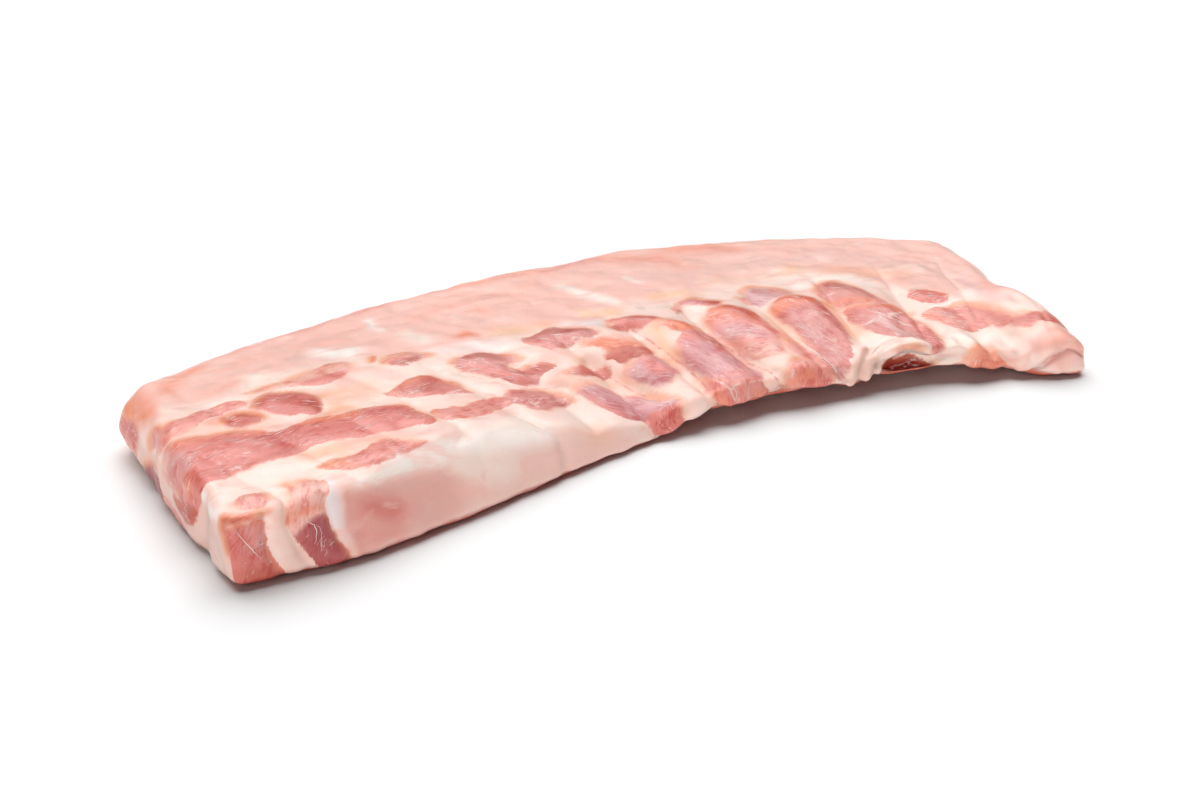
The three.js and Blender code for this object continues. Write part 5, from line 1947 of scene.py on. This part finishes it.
@dataclass(frozen=True)
class RawPork:
    """Raw pork, cut and moist: lean with drawn fibres, soft fat, silverskin over both.

    To the eye it is matt and slightly see-through, with a thin broken shine of moisture.
    """

    # Sizes of the patterns, in mm.
    fibre_width: float = 1.1
    thread_pitch: float = 2.4
    web_pitch: float = 3.2
    web_patch: float = 8.0
    web_line: float = 0.03
    lean_cloud: float = 7.0
    fat_cloud: float = 9.0
    broad_cloud: float = 26.0
    ragged: float = 5.0
    ragged_reach: float = 1.0
    fray: float = 0.45
    halo: float = 4.5
    fat_grain: float = 2.4
    wet_patch: float = 5.0
    line_break: float = 3.0
    relief: float = 0.5
    scatter: float = 2.0
    # How dense the fray of the edge is, and how much more web there is where the film lies.
    fray_density: float = 0.9
    web_film: float = 0.12
    # How the surface takes light.
    ior: float = 1.36
    see_through: float = 0.3
    depth_by_colour: Point = (1.0, 0.42, 0.28)
    moisture: float = 0.3
    moisture_roughness: float = 0.16
    relief_strength: float = 0.3

    def build(self) -> bpy.types.Material:
        """Builds the material.

        Returns:
            The material.
        """
        material = bpy.data.materials.new("raw_pork_cut_moist")
        material.use_nodes = True
        tree = material.node_tree
        tree.nodes.clear()
        place = add_node(tree, "ShaderNodeTexCoord").outputs["Object"]
        read = self.read_paint(tree)
        streaks = add_node(
            tree, "ShaderNodeTexNoise",
            {"Vector": read["fibre"], "Scale": 1 / self.fibre_width, "Detail": 3.0, "Roughness": 0.55},
        ).outputs["Fac"]
        broad = add_node(
            tree, "ShaderNodeTexNoise",
            {"Vector": place, "Scale": self.per_mm(self.broad_cloud), "Detail": 2.0},
        ).outputs["Fac"]
        is_lean = self.lean_share(tree, place, read, broad)
        lean = self.lean_colour(tree, place, read, streaks)
        fat = self.fat_colour(tree, place, read, broad)
        fold, thread = (self.line_share(tree, place, read[name]) for name in ("crease", "sinew"))
        # The folds' colour is partly painted shade in the creases.
        colour = fat
        white = linear(Tone.CREAM_WHITE.value)
        for share, over in ((is_lean, lean), (fold, read["crease_colour_and_shade"]), (thread, white)):
            colour = add_node(
                tree, "ShaderNodeMix", {"Factor": share, 6: colour, 7: over}, data_type="RGBA",
            ).outputs[2]
        wet = add_node(
            tree, "ShaderNodeTexNoise",
            {"Vector": place, "Scale": self.per_mm(self.wet_patch), "Detail": 3.0},
        ).outputs["Fac"]
        roughness = add_node(
            tree, "ShaderNodeMapRange",
            {"Value": wet, "From Min": 0.35, "From Max": 0.65, "To Min": 0.3, "To Max": 0.55},
        ).outputs["Result"]
        shader = add_node(
            tree, "ShaderNodeBsdfPrincipled",
            {
                "Base Color": colour, "Roughness": roughness, "IOR": self.ior,
                "Normal": self.bump(tree, place, streaks, is_lean, fold, thread),
                "Subsurface Weight": self.see_through, "Subsurface Scale": self.scatter * MM,
                "Subsurface Radius": self.depth_by_colour,
                "Coat Weight": self.moisture, "Coat Roughness": self.moisture_roughness,
            },
        )
        add_node(tree, "ShaderNodeOutputMaterial", {"Surface": shader.outputs["BSDF"]})
        return material

    def per_mm(self, size: float) -> float:
        """The scale of a pattern on object coordinates, which are metres, from its size in mm."""
        return 1 / (size * MM)

    def read_paint(self, tree: bpy.types.NodeTree) -> dict[str, bpy.types.NodeSocket]:
        """Reads the mesh's painted fields.

        Args:
            tree: the material's tree.

        Returns:
            A socket for each field, by its name.
        """
        kinds = {
            "Fac": ("lean", "edge", "film", "brow"),
            "Color": ("lean_tint", "fat_tint", "crease_colour_and_shade"),
            "Vector": ("fibre", "sinew", "crease"),
        }
        return {
            name: add_node(tree, "ShaderNodeAttribute", attribute_name=name).outputs[output]
            for output, names in kinds.items() for name in names
        }

    def lean_share(
        self, tree: bpy.types.NodeTree, place: bpy.types.NodeSocket, read: dict[str, bpy.types.NodeSocket],
        broad: bpy.types.NodeSocket,
    ) -> bpy.types.NodeSocket:
        """0 on fat and 1 on lean, with an edge that wanders, and is crisp here and soft there.

        Args:
            tree: the material's tree.
            place: object coordinates.
            read: the painted fields.
            broad: a broad noise, which says where the edge is soft.

        Returns:
            The share.
        """
        rough = add_node(
            tree, "ShaderNodeTexNoise",
            {"Vector": place, "Scale": self.per_mm(self.ragged), "Detail": 3.0, "Roughness": 0.55},
        ).outputs["Fac"]
        frayed = add_node(
            tree, "ShaderNodeTexNoise",
            {"Vector": read["fibre"], "Scale": self.fray_density, "Detail": 2.0},
        ).outputs["Fac"]
        shift = add_node(
            tree, "ShaderNodeMapRange",
            {"Value": rough, "To Min": -2 * self.ragged_reach, "To Max": 2 * self.ragged_reach},
        ).outputs["Result"]
        fray = add_node(
            tree, "ShaderNodeMapRange", {"Value": frayed, "To Min": -2 * self.fray, "To Max": 2 * self.fray},
        ).outputs["Result"]
        moved = add_node(tree, "ShaderNodeMath", {0: read["lean"], 1: shift}, operation="ADD").outputs[0]
        moved = add_node(tree, "ShaderNodeMath", {0: moved, 1: fray}, operation="ADD").outputs[0]
        softness = add_node(
            tree, "ShaderNodeMapRange",
            {"Value": broad, "From Min": 0.42, "From Max": 0.6, "To Min": 0.6, "To Max": 2.6},
            interpolation_type="SMOOTHSTEP",
        ).outputs["Result"]
        upper = add_node(
            tree, "ShaderNodeMapRange", {"Value": read["brow"], "To Min": 0.5, "To Max": 1.3},
        ).outputs["Result"]
        edge = read["edge"]
        for share in (softness, upper):
            edge = add_node(tree, "ShaderNodeMath", {0: edge, 1: share}, operation="MULTIPLY").outputs[0]
        inner = add_node(tree, "ShaderNodeMath", {0: edge, 1: -1.0}, operation="MULTIPLY").outputs[0]
        return add_node(
            tree, "ShaderNodeMapRange", {"Value": moved, "From Min": edge, "From Max": inner},
            interpolation_type="SMOOTHSTEP",
        ).outputs["Result"]

    def lean_colour(
        self, tree: bpy.types.NodeTree, place: bpy.types.NodeSocket, read: dict[str, bpy.types.NodeSocket],
        streaks: bpy.types.NodeSocket,
    ) -> bpy.types.NodeSocket:
        """Lean meat: its own tone, darker and paler along the fibres, with silverskin over it.

        Args:
            tree: the material's tree.
            place: object coordinates.
            read: the painted fields.
            streaks: a noise drawn out along the fibres.

        Returns:
            The colour.
        """
        cloud = add_node(
            tree, "ShaderNodeTexNoise",
            {"Vector": place, "Scale": self.per_mm(self.lean_cloud), "Detail": 4.0, "Roughness": 0.6},
        ).outputs["Fac"]
        both = add_node(tree, "ShaderNodeMix", {"Factor": 0.4, 2: cloud, 3: streaks}).outputs[0]
        deep = add_node(
            tree, "ShaderNodeMapRange",
            {"Value": both, "From Min": 0.54, "From Max": 0.36, "To Min": 0.0, "To Max": 0.7},
            interpolation_type="SMOOTHSTEP",
        ).outputs["Result"]
        deeper = add_node(
            tree, "ShaderNodeMix",
            {"Factor": 1.0, 6: read["lean_tint"], 7: linear(Tone.BLOOD.value)},
            data_type="RGBA", blend_type="MULTIPLY",
        ).outputs[2]
        drawn = add_node(
            tree, "ShaderNodeMix", {"Factor": deep, 6: read["lean_tint"], 7: deeper}, data_type="RGBA",
        ).outputs[2]
        threads = add_node(
            tree, "ShaderNodeTexNoise",
            {"Vector": read["fibre"], "Scale": 1 / self.thread_pitch, "Detail": 5.0, "Roughness": 0.6,
             "Distortion": 0.7},
        ).outputs["Fac"]
        marbled = add_node(
            tree, "ShaderNodeMapRange",
            {"Value": threads, "From Min": 0.56, "From Max": 0.72, "To Min": 0.0, "To Max": 0.22},
            interpolation_type="SMOOTHSTEP",
        ).outputs["Result"]
        glow = add_node(
            tree, "ShaderNodeMapRange", {"Value": read["brow"], "To Min": 0.05, "To Max": 0.45},
        ).outputs["Result"]
        near_rim = add_node(
            tree, "ShaderNodeMapRange",
            {"Value": read["lean"], "From Min": -3.5, "From Max": 1.0, "To Max": glow},
            interpolation_type="SMOOTHSTEP",
        ).outputs["Result"]
        veil = add_node(
            tree, "ShaderNodeMapRange",
            {"Value": threads, "From Min": 0.38, "From Max": 0.62, "To Min": 0.25, "To Max": 1.0},
        ).outputs["Result"]
        film = add_node(tree, "ShaderNodeMath", {0: read["film"], 1: veil}, operation="MULTIPLY").outputs[0]
        web = self.web_share(tree, place, read)
        return self.lay_over(tree, drawn, (
            (marbled, Tone.PALE_PINK), (near_rim, Tone.FLAME), (film, Tone.FILM_PINK),
            (web, Tone.CREAM_WHITE),
        ))

    def lay_over(
        self, tree: bpy.types.NodeTree, colour: bpy.types.NodeSocket,
        coats: tuple[tuple[bpy.types.NodeSocket, Tone], ...],
    ) -> bpy.types.NodeSocket:
        """Lays tones over a colour, one after the other.

        Args:
            tree: the material's tree.
            colour: the colour beneath.
            coats: the share and the tone of each coat.

        Returns:
            The colour.
        """
        for share, tone in coats:
            colour = add_node(
                tree, "ShaderNodeMix", {"Factor": share, 6: colour, 7: linear(tone.value)}, data_type="RGBA",
            ).outputs[2]
        return colour

    def web_share(
        self, tree: bpy.types.NodeTree, place: bpy.types.NodeSocket, read: dict[str, bpy.types.NodeSocket],
    ) -> bpy.types.NodeSocket:
        """Fine curved white threads of connective tissue, in patches and most where the film lies.

        Args:
            tree: the material's tree.
            place: object coordinates.
            read: the painted fields.

        Returns:
            The share of white.
        """
        web = add_node(
            tree, "ShaderNodeTexNoise",
            {"Vector": read["fibre"], "Scale": 1 / self.web_pitch, "Detail": 2.0, "Roughness": 0.6,
             "Distortion": 1.6},
        ).outputs["Fac"]
        level = add_node(tree, "ShaderNodeMath", {0: web, 1: 0.5}, operation="SUBTRACT").outputs[0]
        level = add_node(tree, "ShaderNodeMath", {0: level}, operation="ABSOLUTE").outputs[0]
        here = add_node(
            tree, "ShaderNodeTexNoise",
            {"Vector": place, "Scale": self.per_mm(self.web_patch), "Detail": 1.0},
        ).outputs["Fac"]
        here = add_node(
            tree, "ShaderNodeMath", {0: read["film"], 1: self.web_film, 2: here}, operation="MULTIPLY_ADD",
        ).outputs[0]
        strength = add_node(
            tree, "ShaderNodeMapRange",
            {"Value": here, "From Min": 0.52, "From Max": 0.64, "To Min": 0.0, "To Max": 0.5},
            interpolation_type="SMOOTHSTEP",
        ).outputs["Result"]
        return add_node(
            tree, "ShaderNodeMapRange",
            {"Value": level, "From Min": self.web_line, "From Max": 0.0, "To Min": 0.0, "To Max": strength},
            interpolation_type="SMOOTHSTEP",
        ).outputs["Result"]

    def fat_colour(
        self, tree: bpy.types.NodeTree, place: bpy.types.NodeSocket, read: dict[str, bpy.types.NodeSocket],
        broad: bpy.types.NodeSocket,
    ) -> bpy.types.NodeSocket:
        """Fat and membrane: their own tone, with pink and creamy clouds, warmer beside the lean.

        Args:
            tree: the material's tree.
            place: object coordinates.
            read: the painted fields.
            broad: a broad noise, which says where the warmth shows.

        Returns:
            The colour.
        """
        drawn_out = add_node(
            tree, "ShaderNodeMapping", {"Vector": place, "Scale": (0.3, 1.0, 1.0), "Rotation": (0, 0, 0.12)},
        ).outputs["Vector"]
        cloud = add_node(
            tree, "ShaderNodeTexNoise",
            {"Vector": drawn_out, "Scale": self.per_mm(self.fat_cloud), "Detail": 5.0, "Roughness": 0.6,
             "Distortion": 0.6},
        ).outputs["Fac"]
        pink = add_node(
            tree, "ShaderNodeMapRange",
            {"Value": cloud, "From Min": 0.5, "From Max": 0.68, "To Min": 0.0, "To Max": 0.6},
            interpolation_type="SMOOTHSTEP",
        ).outputs["Result"]
        cream = add_node(
            tree, "ShaderNodeMapRange",
            {"Value": cloud, "From Min": 0.45, "From Max": 0.3, "To Min": 0.0, "To Max": 0.3},
            interpolation_type="SMOOTHSTEP",
        ).outputs["Result"]
        near_lean = add_node(
            tree, "ShaderNodeMapRange",
            {"Value": read["lean"], "From Max": self.halo, "To Min": 1.0, "To Max": 0.0},
            interpolation_type="SMOOTHSTEP",
        ).outputs["Result"]
        strength = add_node(
            tree, "ShaderNodeMapRange",
            {"Value": broad, "From Min": 0.42, "From Max": 0.62, "To Min": 0.05, "To Max": 0.8},
            interpolation_type="SMOOTHSTEP",
        ).outputs["Result"]
        upper = add_node(
            tree, "ShaderNodeMapRange", {"Value": read["brow"], "To Min": 0.2, "To Max": 1.0},
        ).outputs["Result"]
        warmth = near_lean
        for share in (strength, upper):
            warmth = add_node(tree, "ShaderNodeMath", {0: warmth, 1: share}, operation="MULTIPLY").outputs[0]
        return self.lay_over(tree, read["fat_tint"], (
            (pink, Tone.PALE_PINK), (cream, Tone.CREAM), (warmth, Tone.AMBER),
        ))

    def line_share(
        self, tree: bpy.types.NodeTree, place: bpy.types.NodeSocket, line: bpy.types.NodeSocket
    ) -> bpy.types.NodeSocket:
        """1 on a fine line and 0 beside it.

        Args:
            tree: the material's tree.
            place: object coordinates.
            line: the line's field: the distances across it and past its ends, and its half width.

        Returns:
            The share.
        """
        parts = add_node(tree, "ShaderNodeSeparateXYZ", {"Vector": line}).outputs
        flat = add_node(
            tree, "ShaderNodeVectorMath", {0: line, 1: (1.0, 1.0, 0.0)}, operation="MULTIPLY",
        ).outputs["Vector"]
        reach = add_node(tree, "ShaderNodeVectorMath", {0: flat}, operation="LENGTH").outputs["Value"]
        apart = add_node(tree, "ShaderNodeMath", {0: reach, 1: parts["Z"]}, operation="SUBTRACT").outputs[0]
        broken = add_node(
            tree, "ShaderNodeTexNoise",
            {"Vector": place, "Scale": self.per_mm(self.line_break), "Detail": 3.0},
        ).outputs["Fac"]
        strength = add_node(
            tree, "ShaderNodeMapRange",
            {"Value": broken, "From Min": 0.4, "From Max": 0.62, "To Min": 0.08, "To Max": 0.6},
            interpolation_type="SMOOTHSTEP",
        ).outputs["Result"]
        return add_node(
            tree, "ShaderNodeMapRange",
            {"Value": apart, "From Min": 0.5, "From Max": -0.3, "To Min": 0.0, "To Max": strength},
            interpolation_type="SMOOTHSTEP",
        ).outputs["Result"]

    def bump(
        self, tree: bpy.types.NodeTree, place: bpy.types.NodeSocket, streaks: bpy.types.NodeSocket,
        is_lean: bpy.types.NodeSocket, fold: bpy.types.NodeSocket, thread: bpy.types.NodeSocket,
    ) -> bpy.types.NodeSocket:
        """Fine relief: fibres on lean, a soft grain on fat, and a step where one meets the other.

        Args:
            tree: the material's tree.
            place: object coordinates.
            streaks: a noise drawn out along the fibres.
            is_lean: 0 on fat and 1 on lean.
            fold: 1 on a fold.
            thread: 1 on a white thread.

        Returns:
            The normal.
        """
        grain = add_node(
            tree, "ShaderNodeTexNoise",
            {"Vector": place, "Scale": self.per_mm(self.fat_grain), "Detail": 3.0, "Roughness": 0.5},
        ).outputs["Fac"]
        height = add_node(
            tree, "ShaderNodeMix", {"Factor": is_lean, 2: grain, 3: streaks}, data_type="FLOAT",
        ).outputs[0]
        parts = ((is_lean, 0.5), (thread, 0.5), (fold, -0.8))
        for share, rise in parts:
            lifted = add_node(tree, "ShaderNodeMath", {0: share, 1: rise}, operation="MULTIPLY").outputs[0]
            height = add_node(tree, "ShaderNodeMath", {0: height, 1: lifted}, operation="ADD").outputs[0]
        return add_node(
            tree, "ShaderNodeBump",
            {"Height": height, "Strength": self.relief_strength, "Distance": self.relief * MM},
        ).outputs["Normal"]


@dataclass(frozen=True)
class SoftTissue:
    """Connective tissue, drawn taut in cords or torn in threads: pale and a little see-through.

    To the eye it is whiter than the meat under it, with a low moist shine and no hard edge.
    """

    name: str
    pale: Tone
    warm: Tone
    cloud: float = 6.0
    roughness: float = 0.38
    scatter: float = 1.2
    ior: float = 1.4
    see_through: float = 0.4
    depth_by_colour: Point = (1.0, 0.5, 0.35)
    moisture: float = 0.2
    moisture_roughness: float = 0.2

    def build(self) -> bpy.types.Material:
        """Builds the material.

        Returns:
            The material.
        """
        material = bpy.data.materials.new(self.name)
        material.use_nodes = True
        tree = material.node_tree
        tree.nodes.clear()
        place = add_node(tree, "ShaderNodeTexCoord").outputs["Object"]
        cloud = add_node(
            tree, "ShaderNodeTexNoise", {"Vector": place, "Scale": 1 / (self.cloud * MM), "Detail": 2.0},
        ).outputs["Fac"]
        share = add_node(
            tree, "ShaderNodeMapRange", {"Value": cloud, "From Min": 0.35, "From Max": 0.65},
            interpolation_type="SMOOTHSTEP",
        ).outputs["Result"]
        colour = add_node(
            tree, "ShaderNodeMix", {"Factor": share, 6: linear(self.pale.value), 7: linear(self.warm.value)},
            data_type="RGBA",
        ).outputs[2]
        shader = add_node(
            tree, "ShaderNodeBsdfPrincipled",
            {
                "Base Color": colour, "Roughness": self.roughness, "IOR": self.ior,
                "Subsurface Weight": self.see_through, "Subsurface Scale": self.scatter * MM,
                "Subsurface Radius": self.depth_by_colour,
                "Coat Weight": self.moisture, "Coat Roughness": self.moisture_roughness,
            },
        )
        add_node(tree, "ShaderNodeOutputMaterial", {"Surface": shader.outputs["BSDF"]})
        return material


# ---- the studio ----------------------------------------------------------------------------------


@dataclass
class Studio:
    """A pale floor, soft light and the camera."""

    target: Point = (-2.79, -7.04, 0.0)
    distance: float = 950.0
    elevation: float = 26.0
    azimuth: float = -27.5
    focal_length: float = 69.0
    floor_half: float = 2.5
    floor_white: float = 0.96
    room_light: float = 0.015
    key_strength: float = 3.5
    key_spread: float = 68.0
    key_from: Point = (0.14, 0.47, 1.0)
    fill_strength: float = 2.55
    fill_spread: float = 50.0
    fill_from: Point = (-0.65, -1.0, 0.12)
    low_strength: float = 0.42
    low_spread: float = 50.0
    low_from: Point = (-0.8, -0.6, 0.45)

    def build(self, pieces: list[bpy.types.Object]) -> None:
        """Builds the camera, the lights and the floor.

        Args:
            pieces: the rack and what lies on it, which alone get the fill light.
        """
        self.place_camera()
        floor = self.lay_floor()
        self.fill_world()
        self.hang_light("softbox", self.key_from, self.key_strength, self.key_spread)
        fill = self.hang_light("fill_card", self.fill_from, self.fill_strength, self.fill_spread)
        fill.data.cycles.max_bounces = 0
        self.keep_to(fill, pieces)
        self.keep_to(self.hang_light("low_card", self.low_from, self.low_strength, self.low_spread), [floor])

    def keep_to(self, light: bpy.types.Object, lit: list[bpy.types.Object]) -> None:
        """Lets a light reach only some objects.

        Args:
            light: the light.
            lit: the objects that it lights.
        """
        group = bpy.data.collections.new(f"lit_by_{light.name}")
        for item in lit:
            group.objects.link(item)
        light.light_linking.receiver_collection = group

    def place_camera(self) -> None:
        """Looks at the rack from the left of its near side, a little from above."""
        turn, rise = math.radians(self.azimuth), math.radians(self.elevation)
        away = Vector((math.sin(turn) * math.cos(rise), -math.cos(turn) * math.cos(rise), math.sin(rise)))
        data = bpy.data.cameras.new("camera")
        data.lens = self.focal_length
        data.sensor_width = 36.0
        data.clip_start = 0.01
        camera = link_to_scene("camera", data)
        camera.location = (Vector(self.target) + away * self.distance) * MM
        camera.rotation_euler = away.to_track_quat("Z", "Y").to_euler()
        bpy.context.scene.camera = camera

    def lay_floor(self) -> bpy.types.Object:
        """Lays the floor under the rack.

        Returns:
            The floor.
        """
        half = self.floor_half
        mesh = bpy.data.meshes.new("floor")
        corners_of_floor = [(-half, -half, 0), (half, -half, 0), (half, half, 0), (-half, half, 0)]
        mesh.from_pydata(corners_of_floor, [], [(0, 1, 2, 3)])
        floor = link_to_scene("floor", mesh)
        material = bpy.data.materials.new("white_studio_floor")
        material.use_nodes = True
        shader = material.node_tree.nodes["Principled BSDF"]
        shader.inputs["Base Color"].default_value = (self.floor_white,) * 3 + (1.0,)
        shader.inputs["Roughness"].default_value = 0.9
        mesh.materials.append(material)
        return floor

    def fill_world(self) -> None:
        """Fills the room with even, faint white light."""
        world = bpy.data.worlds.new("studio_air")
        world.use_nodes = True
        world.node_tree.nodes["Background"].inputs["Color"].default_value = (1.0, 1.0, 1.0, 1.0)
        world.node_tree.nodes["Background"].inputs["Strength"].default_value = self.room_light
        bpy.context.scene.world = world
        bpy.context.scene.view_settings.view_transform = "Standard"

    def hang_light(self, name: str, place: Point, strength: float, spread: float) -> bpy.types.Object:
        """Hangs a broad soft light far off, so that it falls evenly on the floor.

        Args:
            name: the light's name.
            place: the direction that it comes from.
            strength: its strength in watts for each square metre.
            spread: the angle that it fills, in degrees.

        Returns:
            The light.
        """
        data = bpy.data.lights.new(name, "SUN")
        data.energy = strength
        data.angle = math.radians(spread)
        light = link_to_scene(name, data)
        light.rotation_euler = Vector(place).to_track_quat("Z", "Y").to_euler()
        return light


# ---- the whole -----------------------------------------------------------------------------------


def corners(box: tuple[Vector, Vector]) -> list[list[float]]:
    """A box's two corners as plain lists."""
    return [list(corner) for corner in box]


def main() -> None:
    """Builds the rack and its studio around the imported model."""
    logging.basicConfig(level=logging.INFO, format="%(name)s: %(message)s")
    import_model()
    model = RackMesh()
    rack = model.build()
    sinew = SoftTissue("silverskin_cords_drawn_taut", Tone.CREAM_WHITE, Tone.SOFT_FAT).build()
    thread = SoftTissue("connective_threads_torn", Tone.PALE_PINK, Tone.CREAM_WHITE).build()
    strands = Strands()
    pieces = [
        rack,
        strands.cords(model.skin, model.skin.normals(), sinew),
        strands.threads(rack, thread),
    ]
    rack.data.materials.append(RawPork().build())
    for piece in pieces:
        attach(piece, BODY)
        LOG.info("%s: %d points, %d faces", piece.name, len(piece.data.vertices), len(piece.data.polygons))
    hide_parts(NODE)
    Studio().build(pieces)


if __name__ == "__main__":
    main()
